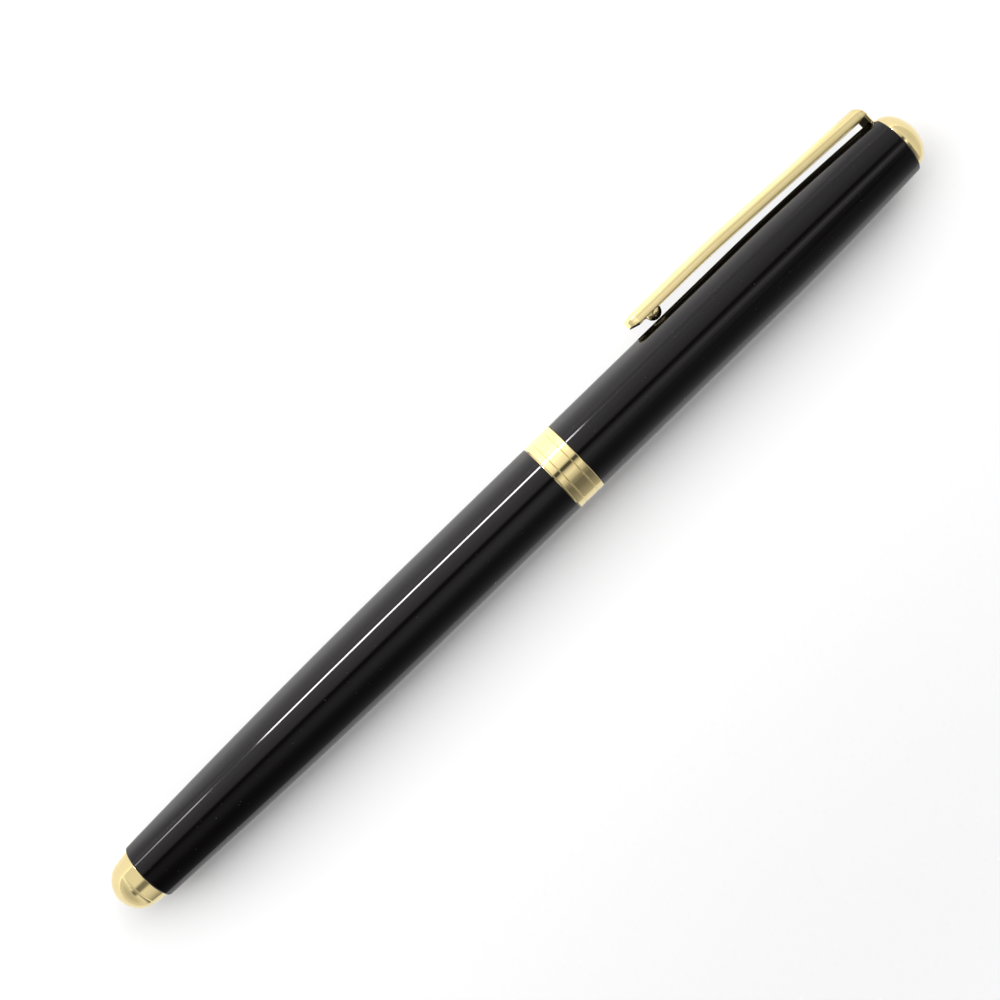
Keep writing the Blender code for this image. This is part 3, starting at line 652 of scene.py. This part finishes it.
def nose_cone():
    """The gilt nose: a curved cone that narrows to the refill's tip."""
    start, front = span("nose_cone")
    back, seat = SECTION_X[1] + GAP, REFILL_SHOULDER_X + GAP
    spigot, throat, bore, bore_length = NOSE_SPIGOT[0], 2.35, 1.35, 1.0
    tip, base, bend = 1.75, SECTION_RADII[1], 1.4
    corners = [(start, spigot, 0.1), (back, spigot), (back, base, 0.1)]
    for run in spaced(0.04, 0.97, 30):
        corners.append((back + (front - back) * run, base - (base - tip) * run**bend))
    corners += [(front, tip, 0.15), (front, bore, 0.08), (front - bore_length, bore)]
    corners += [(seat, throat), (seat, SECTION_BORE), (start, SECTION_BORE, 0.06)]
    turned_piece("nose", corners, "nose_cone")


def snap_wire():
    """The split wire ring that the cap's clutch slides over."""
    turn = 0.94  # the rest of the circle is the split
    sections = coil_sections(SNAP_MEAN, SNAP_WIRE, SNAP_X, lambda share: 0.0, turn, 14, 120)
    ring = add_object("snap_wire", lofted_mesh(sections), LOOKS["steel"])
    stands_for(ring, "snap_ring")


# ---- cap ----
def cap_radius(x):
    run = max(0.0, (x - CAP_TAPER_X) / (CAP_TOP_X - CAP_TAPER_X))
    return CAP_RADIUS - CAP_TAPER_DROP * run**TAPER_POWER


def cap_bore(x):
    return min(TUBE_BORE, cap_radius(x) - CAP_WALL)


def cap_shell():
    """The lacquered tube of the cap, with a spigot for the band and a notch for the clip's leg."""
    start, body = span("cap_tube")[0], span("cap_band")[1] + GAP
    corners = [(start, BAND_SPIGOT, 0.05), (body, BAND_SPIGOT), (body, CAP_RADIUS, 0.06)]
    corners += [(CAP_TAPER_X - 8.0, CAP_RADIUS)]
    corners += [(x, cap_radius(x)) for x in spaced(CAP_TAPER_X, CAP_TOP_X - 0.9, 26)]
    corners += [(CAP_TOP_X, cap_radius(CAP_TOP_X), 0.22), (CAP_TOP_X, cap_bore(CAP_TOP_X), 0.05)]
    corners += [(x, cap_bore(x)) for x in spaced(CAP_TOP_X - 1.0, CAP_TAPER_X + 6.0, 16)]
    corners += [(start, TUBE_BORE, 0.05)]
    low = (NOTCH_X, NOTCH_FLOOR, -NOTCH_HALF)
    high = (CAP_TOP_X + 1.0, CAP_RADIUS + 1.0, NOTCH_HALF)
    notch = box("notch", low, high, CLIP_SIDE)
    turned_piece("cap_shell", corners, "cap_tube", cutters=[notch])


def band():
    """The gilt ring around the cap's mouth, with two fine turned grooves."""
    start, end = span("cap_band")
    outer, bore, lip, seat = reach("cap_band"), 4.5, start + 0.55, BAND_SPIGOT + GAP
    corners = [(start, outer, 0.16)]
    for x in (start + 1.03, start + 3.0):
        corners += groove(x, outer, 0.08, 0.07, 0.02, 0.02)
    corners += [(end, outer, 0.16), (end, seat, 0.03), (lip, seat)]
    corners += [(lip, bore, 0.05), (start, bore, 0.1)]
    turned_piece("mouth_band", corners, "cap_band")


def clutch():
    """The slotted brass ring inside the cap's mouth, whose fingers grip the snap ring."""
    back, front = span("cap_clutch")
    outer, bore, length, width = reach("cap_clutch"), 4.15, 3.0, 0.7
    corners = [(back, outer, 0.12), (front, outer, 0.06), (front, bore, 0.06), (back, bore, 0.15)]
    halves = ((6.0, width / 2), (width / 2, 6.0))
    slots = [box("slot", (back - 1.0, -y, -z), (back + length, y, z)) for y, z in halves]
    turned_piece("clutch_fingers", corners, "cap_clutch", cutters=slots)


def liner():
    """The plastic liner that closes around the nose."""
    back, front = span("inner_cap")
    outer, bore, nose_bore, screw_hole = TUBE_BORE - GAP, 3.95, 3.75, 0.85
    nose_x, taper_x, floor_x, floor_radius = SECTION_X[1] + 0.6, 55.3, 63.4, 3.3
    corners = [(back, outer, 0.1)]
    corners += [(x, cap_bore(x) - GAP) for x in spaced(CAP_TAPER_X + 6.0, front, 12)]
    corners += [(front, screw_hole), (floor_x, screw_hole, 0.05), (floor_x, floor_radius, 0.3)]
    corners += [(taper_x, nose_bore), (nose_x + 0.6, nose_bore), (nose_x, bore), (back, bore, 0.3)]
    turned_piece("cap_liner", corners, "inner_cap")


def cap_end():
    """The gilt dome on the cap, with a neck inside the tube and a boss on the liner's floor."""
    boss_x, tip_x = span("cap_finial")
    base, neck_x, neck = CAP_TOP_X + GAP, CAP_TOP_X - 0.18, cap_bore(CAP_TOP_X) - 2 * GAP
    dome, boss, bore, bore_end = reach("cap_finial"), 1.9, 0.8, 67.5
    rim = base + 0.16
    corners = [(boss_x, bore, 0.08), (boss_x, boss, 0.1), (neck_x, boss)]
    corners += [(neck_x, neck, 0.04), (base, neck), (base, dome, 0.09)]
    corners += arc(rim, 0.0, tip_x - rim, dome - 0.002, 86, 0, 44)
    corners += [(bore_end, 0.0), (bore_end, bore)]
    turned_piece("cap_end", corners, "cap_finial")


def liner_screw():
    """The slotted screw through the liner's floor."""
    start, end = span("cap_screw")
    head, height, shank = reach("cap_screw"), 0.8, 0.75
    corners = [(start, 0.0), (start, head, 0.25), (start + height, head, 0.08)]
    corners += [(start + height, shank), (end, shank, 0.15), (end, 0.0)]
    depth, half = 0.35, 0.2
    slot = box("slot", (start - 1.0, -half, -2.5), (start + depth, half, 2.5))
    turned_piece("liner_screw", corners, "cap_screw", SMALL_SEGMENTS, [slot])


# ---- clip, in its own frame ----
CLIP_END_X, CLIP_BACK_X = span("clip")
CLIP_RIM = 6.2  # height of the clip's edges above the pen's axis, over its level free part
CLIP_BEND_X = (36.0, 44.0)
CLIP_SLOPE = 0.0412
CLIP_HEIGHT = 1.75
CLIP_SHEET = 0.42
CLIP_HALF = (1.75, 2.2)  # half width at the free end and at the root
CLIP_TIP = 1.6  # length of the rounded free end
CLIP_CORNER = 0.9
CLIP_LIP = 0.1  # rounding of the sheet's outer edge
CLIP_DRAFT = 0.2  # how much the arm's sides lean in, for each unit of height
CLIP_SHOULDER = 0.45  # share of the height where the sides turn into the crown
CLIP_LAND = 0.35  # share of the width that is flat on top


def clip_rim(x):
    """Height of the clip's edges: level, then a bend, then straight down towards the cap's top."""
    start, end = CLIP_BEND_X
    if x <= start:
        return CLIP_RIM
    if x >= end:
        return CLIP_RIM - CLIP_SLOPE * (x - (start + end) / 2)
    return CLIP_RIM - CLIP_SLOPE * (x - start) ** 2 / (2 * (end - start))


def clip_half(x):
    run = (x - CLIP_END_X) / (CLIP_BACK_X - CLIP_END_X)
    return CLIP_HALF[0] + (CLIP_HALF[1] - CLIP_HALF[0]) * run


def clip_arch(half, low, high, draft=CLIP_DRAFT):
    """Half of an arch's outline, from its edge at z = half to the middle of its crown."""
    height = high - low
    shoulder = low + CLIP_SHOULDER * height
    land = CLIP_LAND * half
    top = half - draft * (shoulder - low)
    side = (low, low + 0.2 * (shoulder - low), shoulder - 0.08 * height)
    points = [(y, half - draft * (y - low)) for y in side]
    for a in radians(spaced(0, 90, 14)):
        points.append((shoulder + (high - shoulder) * math.sin(a), land + (top - land) * math.cos(a)))
    return points + [(high, 0.85 * land), (high, 0.0)]


def clip_section(x, half, low, high, depth, wall):
    """A closed section of the pressed sheet: over the crown outside, then back along its inside.

    depth is how far the hollow reaches up into the section, and wall the sheet's thickness.
    """
    lip = min(CLIP_LIP, 0.4 * wall)
    outer = clip_arch(half, low, high)
    turn = radians(spaced(0, 90, 4))
    rounded = [(low + lip * (1 - math.cos(a)), half - lip * (1 - math.sin(a))) for a in turn]
    outer = rounded + outer[2:]
    inner = clip_arch(half - wall, low, low + max(depth, 1e-3), draft=0.0)
    inner[0] = (low, half - wall + 0.3 * lip)
    outer_ring = [(x, y, z) for y, z in outer] + [(x, y, -z) for y, z in outer[-2::-1]]
    inner_ring = [(x, y, -z) for y, z in inner] + [(x, y, z) for y, z in inner[-2::-1]]
    return outer_ring + inner_ring


def clip_tip_stations():
    """Along the rounded free end: x, share of the width, lift of the edges and drop of the crown."""
    stations = []
    for a in radians((3, 8, 14, 21, 29, 38, 48, 59, 70, 80, 90)):
        x = CLIP_END_X + CLIP_TIP * (1 - math.cos(a))
        stations.append((x, math.sin(a) ** 0.6, 0.45 * math.cos(a), 0.55 * (1 - math.sin(a))))
    return stations


def clip_sections():
    """From the rounded free end, along the arm, to the rounded root corner."""
    hollow_start, hollow_full = CLIP_END_X + 1.4, CLIP_END_X + 2.4
    hollow_end, full = CLIP_BACK_X - CLIP_SHEET - GAP, CLIP_HEIGHT - CLIP_SHEET
    straight = spaced(CLIP_END_X + CLIP_TIP + 0.1, hollow_full, 6)
    straight += spaced(hollow_full + 0.4, CLIP_BEND_X[0], 6) + spaced(*CLIP_BEND_X, 12)[1:]
    straight += spaced(CLIP_BEND_X[1], hollow_end - 0.4, 10)[1:]
    sections = []
    for x, share, lift, drop in clip_tip_stations() + [(x, 1.0, 0.0, 0.0) for x in straight]:
        ease = min(1.0, max(0.0, (x - hollow_start) / (hollow_full - hollow_start)))
        depth = full * ease * ease * (3 - 2 * ease)
        low, high = clip_rim(x) + lift, clip_rim(x) + CLIP_HEIGHT - drop
        sections.append(clip_section(x, clip_half(x) * share, low, high, depth, CLIP_SHEET * share))
    return sections + clip_root_sections(hollow_end, full)


def clip_root_sections(hollow_end, full):
    """The closed end of the hollow and the corner where the crown turns down into the leg."""
    start, apart = CLIP_BACK_X - CLIP_CORNER, 0.03
    turn = radians(spaced(0, 90, 9))
    corner = [(start + CLIP_CORNER * math.sin(a), CLIP_CORNER * (1 - math.cos(a))) for a in turn]
    end_drop = CLIP_CORNER * (1 - math.sqrt(1 - ((hollow_end - start) / CLIP_CORNER) ** 2))
    stations = [(x, drop, 1.0) for x, drop in corner if x < hollow_end - apart]
    stations += [(hollow_end, end_drop, 1.0), (hollow_end + 1e-3, end_drop, 0.0)]
    stations += [(x, drop, 0.0) for x, drop in corner if x > hollow_end + apart]
    sections = []
    for x, drop, open_share in stations:
        low, high = clip_rim(x), clip_rim(x) + CLIP_HEIGHT - drop
        depth = max(0.0, min(full, high - low - 0.7 * CLIP_SHEET)) * open_share
        sections.append(clip_section(x, clip_half(x), low, high, depth, CLIP_SHEET))
    return sections


def clip_leg():
    """The sheet that drops from the root through the cap's notch and ends in a narrower tongue."""
    low, tongue, step, wide = 3.0, 1.4, 3.9, 2.1
    high = clip_rim(CLIP_BACK_X) + CLIP_HEIGHT - 1.0
    side = softened([(low, tongue, 0.25), (step, tongue, 0.15), (step, wide, 0.3), (high, wide)], 4)
    side = [point for point in side if point[1] > 0.2]
    plate = side + [(y, -z) for y, z in side[::-1]]
    back, front = CLIP_BACK_X - CLIP_SHEET, CLIP_BACK_X - 0.02
    soft, tongue_end = 0.06, 3.5
    layers = [(back, soft), (back + 0.3 * soft, 0.3 * soft), (back + soft, 0.0)]
    layers += [(front - soft, 0.0), (front - 0.3 * soft, 0.3 * soft), (front, soft)]
    sections = [
        [(x, y + inset if y < tongue_end else y, z - math.copysign(inset, z)) for y, z in plate]
        for x, inset in layers
    ]
    return add_object("leg", lofted_mesh(sections), matrix=CLIP_SIDE)


def pocket_clip():
    """The pressed clip: a long arched arm, hollow on the pen's side, and its leg."""
    sections = clip_sections()
    nose_tip = [(CLIP_END_X, CLIP_RIM + 0.45 + 0.35 * (CLIP_HEIGHT - 1.0), 0.0)]
    bm = lofted_mesh([nose_tip] + sections)
    arm = add_object("pocket_clip", bm, LOOKS["gilt"], CLIP_SIDE)
    apply_boolean(arm, clip_leg(), "UNION")
    stands_for(arm, "clip")


def ball_foot():
    """The round foot under the clip's free end, with a waisted stem into the arm's hollow."""
    radius = 1.12
    centre_x, centre_y = 29.84, CAP_RADIUS + GAP + radius
    roof = CLIP_RIM + CLIP_HEIGHT - CLIP_SHEET - GAP - centre_y
    outline = arc(0.0, 0.0, radius, radius, 180, 34, 40)
    outline += [(roof - 0.25, 0.5), (roof - 0.06, 0.56), (roof, 0.66), (roof, 0.0)]
    place = CLIP_SIDE @ Matrix.Translation((centre_x * MM, centre_y * MM, 0.0))
    upright = place @ Matrix.Rotation(math.pi / 2, 4, "Z")
    foot = add_object("ball_foot", turned_mesh(outline, SMALL_SEGMENTS), LOOKS["gilt"], upright)
    stands_for(foot, "clip_ball")


# ---- refill ----
REFILL_RADIUS = reach("refill_tube")
REFILL_BORE = REFILL_RADIUS - 0.3


def refill_body():
    """The steel tube, crimped by a shallow ring near each end."""
    start, end = span("refill_tube")
    corners = [(start, REFILL_RADIUS, 0.06)]
    for x in (start + 2.6, end - 2.4):
        corners += groove(x, REFILL_RADIUS, 0.3, 0.1, 0.1, 0.15)
    corners += [(end, REFILL_RADIUS, 0.06), (end, REFILL_BORE, 0.05), (start, REFILL_BORE, 0.05)]
    turned_piece("refill_body", corners, "refill_tube")


def refill_end_plug():
    """The vented plastic plug in the tube's open end."""
    start, end = span("refill_plug")
    flange, spigot, vent = 0.5, REFILL_BORE - GAP, 0.4
    corners = [(start, REFILL_RADIUS, 0.15), (start + flange, REFILL_RADIUS, 0.04)]
    corners += [(start + flange, spigot), (end, spigot, 0.2), (end, vent, 0.1), (start, vent, 0.1)]
    turned_piece("refill_end_plug", corners, "refill_plug", SMALL_SEGMENTS)


def reservoir():
    """The bonded fibre rod that holds the ink."""
    start, end = span("ink_reservoir")
    radius = reach("ink_reservoir")
    corners = [(start, 0.0), (start, radius, 0.3), (end, radius, 0.3), (end, 0.0)]
    turned_piece("refill_reservoir", corners, "ink_reservoir", SMALL_SEGMENTS)


def feed():
    """The plastic nose of the refill: the seating shoulder and a stepped cone around the tip."""
    back, front = span("feed_holder")
    shoulder, spigot = REFILL_SHOULDER_X - 0.95, REFILL_BORE - GAP
    cone, mouth, wick, tip, tip_x = 2.2, 1.3, 0.7, 1.2, span("writing_tip")[0] - GAP
    corners = [(back, spigot, 0.15), (shoulder, spigot), (shoulder, REFILL_RADIUS, 0.05)]
    corners += [(REFILL_SHOULDER_X, REFILL_RADIUS, 0.2), (REFILL_SHOULDER_X, cone, 0.05)]
    corners += [(front, mouth, 0.05), (front, tip, 0.03), (tip_x, tip)]
    corners += [(tip_x, wick), (back, wick, 0.05)]
    turned_piece("refill_feed", corners, "feed_holder", SMALL_SEGMENTS)


def ink_wick():
    """The thin fibre rod that carries the ink into the tip."""
    start, end = span("ink_wick")
    radius = reach("ink_wick")
    corners = [(start, 0.0), (start, radius, 0.1), (end - radius / 2, radius, 0.05)]
    corners += [(end, radius / 2, 0.05), (end, 0.0)]
    turned_piece("refill_wick", corners, "ink_wick", SMALL_SEGMENTS)


def writing_tip():
    """The turned steel tip: a shouldered tube, a cone and the lip spun over the ball."""
    start, lip_x = span("writing_tip")
    radius, ball = reach("writing_tip"), reach("rolling_ball")
    ball_x = sum(span("rolling_ball")) / 2
    bore, channel, socket, bore_end = 0.7, 0.2, ball + GAP, span("ink_wick")[1] + 0.25
    step_x, step, lip = 53.9, 0.2, 0.44
    corners = [(start, radius, 0.05), (step_x, radius, 0.06)]
    corners += [(step_x + step, radius - step, 0.06), (lip_x, lip, 0.04)]
    corners += [(lip_x, ball, 0.02), (ball_x, socket, 0.02), (ball_x - socket, socket, 0.05)]
    corners += [(ball_x - socket, channel), (bore_end, channel)]
    corners += [(bore_end, bore), (start, bore, 0.03)]
    turned_piece("refill_tip", corners, "writing_tip", SMALL_SEGMENTS)


def rolling_ball():
    """The hard ball, held in the tip's socket."""
    radius = reach("rolling_ball")
    centre = sum(span("rolling_ball")) / 2
    outline = arc(centre, 0.0, radius, radius, 180, 0, 24)
    outline = [(x, r if r > ON_AXIS else 0.0) for x, r in outline]
    sphere = turned("refill_ball", outline, LOOKS["carbide"], BALL_SEGMENTS)
    stands_for(sphere, "rolling_ball")


# ---- stage, light and camera ----
TABLE_RADIUS = 3000.0
TABLE_GLOW = 0.1  # keeps the shadows open
WINDOW_GLOW = 0.55  # extra glow beside the pen on the clip's side, only in reflections
WINDOW_Y = 6.0  # how far from the pen's axis that glow is full
WINDOW_X = (58.0, 66.0)  # where it fades out, on both sides of the pen's middle
FAR_GLOW = 0.8  # keeps the table white to its horizon, where the lamp is weak
FAR_DISTANCE = (50.0, 400.0)  # from the pen's middle: where the far glow starts and is full
FAR_GLOSSY = 0.25  # share of the far glow that reflections see
SHADOW_CARD_Y = (0.5, 6.3)  # the painted-shadow card's edges, from under the pen's axis
SHADOW_CARD_THICKNESS = 0.01
AMBIENT = 0.27
KEY_POWER = 5.2
KEY_ELEVATION = math.radians(39.5)
KEY_DISTANCE = 0.5
KEY_SIZE = (0.325, 0.9)  # height, and length along the pen, in metres
CAMERA_TILT = math.radians(27.85)  # how far the view leans from straight down towards +Y
CAMERA_ROLL = math.radians(44.2)  # how steeply the pen climbs across the picture
CAMERA_DISTANCE = 231.0
CAMERA_LENS = 66.6
CAMERA_AIM = (-0.22, 2.63)  # along the pen, and across it towards the clip
TO_CAMERA = Vector((0.0, math.sin(CAMERA_TILT), math.cos(CAMERA_TILT)))
ACROSS = Vector((0.0, math.cos(CAMERA_TILT), -math.sin(CAMERA_TILT)))
ALONG = Vector((1.0, 0.0, 0.0))


def camera():
    right = math.cos(CAMERA_ROLL) * ALONG - math.sin(CAMERA_ROLL) * ACROSS
    up = math.sin(CAMERA_ROLL) * ALONG + math.cos(CAMERA_ROLL) * ACROSS
    aim = AXIS + (CAMERA_AIM[0] * ALONG + CAMERA_AIM[1] * ACROSS) * MM
    data = bpy.data.cameras.new("camera")
    data.lens = CAMERA_LENS
    data.clip_start, data.clip_end = 0.01, 20.0
    obj = bpy.data.objects.new("camera", data)
    turn = Matrix((right, up, TO_CAMERA)).transposed().to_4x4()
    obj.matrix_world = Matrix.Translation(aim + TO_CAMERA * CAMERA_DISTANCE * MM) @ turn
    bpy.context.scene.collection.objects.link(obj)
    bpy.context.scene.camera = obj


def table_glow(n):
    """How strongly each point of the table shines by itself, for the ray that sees it."""
    place = n.add("NewGeometry").outputs["Position"]
    parts = n.add("SeparateXYZ", {0: place})
    side = n.fade(parts.outputs["Y"], 0.0, WINDOW_Y * MM)
    beside = n.fade(n.math("ABSOLUTE", parts.outputs["X"]), WINDOW_X[1] * MM, WINDOW_X[0] * MM)
    glossy = n.add("LightPath").outputs["Is Glossy Ray"]
    reflected = n.times(glossy, n.times(side, beside))
    glow = n.math("ADD", n.times(reflected, WINDOW_GLOW), TABLE_GLOW)
    apart = n.add("VectorMath", {0: place}, operation="LENGTH").outputs["Value"]
    far = n.fade(apart, FAR_DISTANCE[0] * MM, FAR_DISTANCE[1] * MM, smooth=True)
    whitening = n.times(far, n.between(glossy, FAR_GLOW, FAR_GLOSSY * FAR_GLOW))
    return n.math("ADD", glow, whitening)


def table_top():
    """A plain white table top that glows a little, and more with distance."""
    made, n = new_material("table_white")
    white = n.blend(n.noise(3.0), (0.89, 0.89, 0.89), (0.91, 0.91, 0.91))
    shine = {"Emission_Color": (1.0, 1.0, 1.0), "Emission_Strength": table_glow(n)}
    n.surface(Base_Color=white, Roughness=0.9, **shine)
    bm = bmesh.new()
    bmesh.ops.create_circle(bm, cap_ends=True, segments=96, radius=TABLE_RADIUS)
    plane = add_object("table", bm, made)
    plane.location = (0.0, 0.0, -GAP * MM)


def painted_shadow_card():
    """Painted shade: a card under the clip, seen only in reflections, keeps the cap's flank dark."""
    made, n = new_material("painted_shadow_black")
    # painted shadow: this black stands in for the clip's shade on the table, as the cap reflects it
    black = n.blend(n.noise(900.0), (0.01, 0.01, 0.01), (0.02, 0.02, 0.02))
    n.surface(Base_Color=black, Roughness=0.9)
    low, high = (CLIP_END_X + 0.3, SHADOW_CARD_Y[0], 0.0), (CLIP_BACK_X + 0.5, SHADOW_CARD_Y[1], SHADOW_CARD_THICKNESS)
    card = box("card", low, high)
    card.data.materials.append(made)
    card.location = (0.0, AXIS.y, 0.0)
    card.visible_camera = card.visible_diffuse = card.visible_shadow = False


def key_light():
    """A large lamp on the clip's side of the pen. Its own shape stays out of the reflections."""
    data = bpy.data.lights.new("key", "AREA")
    data.shape = "RECTANGLE"
    data.size, data.size_y = KEY_SIZE
    data.energy = KEY_POWER
    obj = bpy.data.objects.new("key", data)
    towards = Vector((0.0, math.cos(KEY_ELEVATION), math.sin(KEY_ELEVATION)))
    obj.location = AXIS + towards * KEY_DISTANCE
    obj.rotation_mode = "QUATERNION"
    obj.rotation_quaternion = towards.to_track_quat("Z", "X")
    obj.visible_glossy = False
    bpy.context.scene.collection.objects.link(obj)
    return obj


def cast_no_shadow(lamp, names):
    """Lets a lamp's light pass through the named pieces."""
    passed = bpy.data.collections.new(lamp.name + "_passes")
    for name in names:
        passed.objects.link(bpy.data.objects[name])
    for linked in passed.collection_objects:
        linked.light_linking.link_state = "EXCLUDE"
    lamp.light_linking.blocker_collection = passed


# brightness of the studio around the pen, by the angle in degrees from the camera towards the clip
STUDIO = (
    (-180, 0.8), (-118, 0.6), (-104, 0.42), (-88, 0.32), (-73, 0.22), (-56, 0.2), (-44, 0.42),
    (-34, 0.9), (-23, 1.15), (-14, 0.95), (-8, 0.55), (-4, 0.1), (3, 0.08), (7, 0.8), (11, 1.15),
    (23, 1.4), (35, 1.8), (50, 2.0), (55, 1.85), (58, 2.2), (62, 2.6), (90, 2.2), (180, 0.8),
)
STUDIO_PEAK = 2.7  # the ramps hold shares of this brightness
# two angles and a soft edge of the strip, the cap's dark lane and the streak beside it
STRIP_ANGLE = (47.0, 51.2, 0.4)
LANE_ANGLE = (-50.0, -25.0, 4.0)
STREAK_ANGLE = (-17.5, -12.0, 1.5)
STRIP_BRIGHTNESS = 60.0
LINES = (0.65, 1.35)  # faint lines dim and brighten the bands within these shares
# the same along the pen: position is half of the direction's x, plus a half
STRIP_ENDS = ((0.3, 0.0), (0.335, 0.15), (0.36, 0.28), (0.3675, 0.01), (0.3875, 0.01), (0.393, 1.0),
              (0.522, 1.0), (0.531, 0.01), (0.62, 0.0))
CLIP_SIDE_GAIN = ((0.33, 0.8), (0.4, 0.92), (0.5, 1.0), (0.52, 0.9), (0.55, 0.75), (0.6, 0.65),
                  (0.66, 0.6))
FAR_SIDE_GAIN = ((0.33, 0.25), (0.37, 0.35), (0.46, 0.7), (0.5, 0.9), (0.55, 1.0), (0.66, 1.0))
CAP_LANE = ((0.5, 0.0), (0.535, 0.3), (0.57, 0.5), (0.63, 0.78))  # share of light taken away
CAP_STREAK = ((0.535, 0.0), (0.57, 0.5), (0.63, 0.7))  # share of light added
PAST_ENDS = ((0.0, 0.2), (0.12, 0.23), (0.2, 0.31), (0.3, 0.4), (0.74, 0.36), (0.9, 0.3),
             (1.0, 0.26))
PAST_ALONG = (0.34, 0.5)  # sizes of a direction's x where the room's ends take over
PATCH_ANGLE, PATCH_ALONG = (-40.0, -12.0, 6.0), (-0.66, -0.42, 0.06)  # a dim patch past the tail
PATCH_SHARE = 0.25
HORIZON = 0.32  # brightness the ends of the room share with the far table
HORIZON_RISE = 0.6  # how high up, as a direction's z, the ends are free of it


def window(n, value, low, high, edge):
    """1 between low and high, with a slope at both that reaches edge to either side."""
    return n.times(n.fade(value, low - edge, low + edge), n.fade(value, high + edge, high - edge))


def banded_light(n, angle, stretch):
    """The bands beside the pen, the cap's dark lane and streak, and the bright strip."""
    stops = [((degrees + 180) / 360, value / STUDIO_PEAK) for degrees, value in STUDIO]
    bands = n.ramp(n.math("DIVIDE", n.math("ADD", angle, 180.0), 360.0), stops)
    gains = n.ramp(stretch, FAR_SIDE_GAIN), n.ramp(stretch, CLIP_SIDE_GAIN)
    bands = n.times(bands, n.blend(n.fade(angle, -2.0, 2.0), *gains))
    place = {"W": n.times(angle, 0.25), "Detail": 3.0}
    lines = n.add("TexNoise", place, noise_dimensions="1D").outputs["Fac"]
    bands = n.times(bands, n.between(lines, *LINES))
    lane = n.times(window(n, angle, *LANE_ANGLE), n.ramp(stretch, CAP_LANE))
    streak = n.times(window(n, angle, *STREAK_ANGLE), n.ramp(stretch, CAP_STREAK))
    bands = n.times(bands, n.math("SUBTRACT", n.math("ADD", streak, 1.0), lane))
    strip = n.times(window(n, angle, *STRIP_ANGLE), n.ramp(stretch, STRIP_ENDS))
    return n.math("ADD", bands, n.times(strip, STRIP_BRIGHTNESS / STUDIO_PEAK))


def light_past_ends(n, way, angle, along, stretch):
    """The room beyond the pen's ends, as its domes reflect it; low down it joins the table."""
    patch = n.times(window(n, angle, *PATCH_ANGLE), window(n, along, *PATCH_ALONG))
    ends = n.times(n.ramp(stretch, PAST_ENDS), n.between(patch, 1.0, PATCH_SHARE))
    height = n.add("SeparateXYZ", {0: way}).outputs["Z"]
    return n.blend(n.fade(height, 0.0, HORIZON_RISE, smooth=True), (HORIZON, HORIZON, HORIZON), ends)


def studio_reflection(n):
    """Brightness of the studio as the pen reflects it."""
    way = n.add("TexCoord").outputs["Generated"]
    across, up, along = [
        n.add("VectorMath", {0: way, 1: axis}, operation="DOT_PRODUCT").outputs["Value"]
        for axis in (ACROSS, TO_CAMERA, ALONG)
    ]
    angle = n.math("DEGREES", n.math("ARCTAN2", across, up))
    stretch = n.math("ADD", n.times(along, 0.5), 0.5)
    past = n.fade(n.math("ABSOLUTE", along), *PAST_ALONG, smooth=True)
    ends = light_past_ends(n, way, angle, along, stretch)
    light = n.blend(past, banded_light(n, angle, stretch), ends)
    return n.times(light, STUDIO_PEAK)


def studio_world():
    """White behind the pen, even light on the table, and the banded studio in the reflections."""
    world = bpy.data.worlds.new("studio")
    world.use_nodes = True
    bpy.context.scene.world = world
    n = Nodes(world.node_tree)
    path = n.add("LightPath").outputs
    lit = {0: path["Is Glossy Ray"], 2: AMBIENT, 3: studio_reflection(n)}
    seen = {0: path["Is Camera Ray"], 2: n.add("Mix", lit, data_type="FLOAT").outputs[0], 3: 1.0}
    strength = n.add("Mix", seen, data_type="FLOAT").outputs[0]
    background = n.add("Background", {"Color": (1.0, 1.0, 1.0, 1.0), "Strength": strength})
    n.add("OutputWorld", {"Surface": background.outputs[0]})


def stage():
    camera()
    table_top()
    painted_shadow_card()
    cast_no_shadow(key_light(), ("pocket_clip", "ball_foot"))
    studio_world()
    bpy.context.scene.view_settings.view_transform = "Standard"


# ---- assembly ----
PIECES = (
    section_thread, section_collar, grip, nose_cone, refill_body, refill_end_plug, reservoir, feed,
    ink_wick, writing_tip, rolling_ball, refill_coil, spring_seat, barrel_shell, barrel_bush,
    barrel_end, barrel_insert, snap_wire, cap_shell, band, clutch, liner, cap_end, liner_screw,
    pocket_clip, ball_foot,
)

for make_piece in PIECES:
    make_piece()
stage()
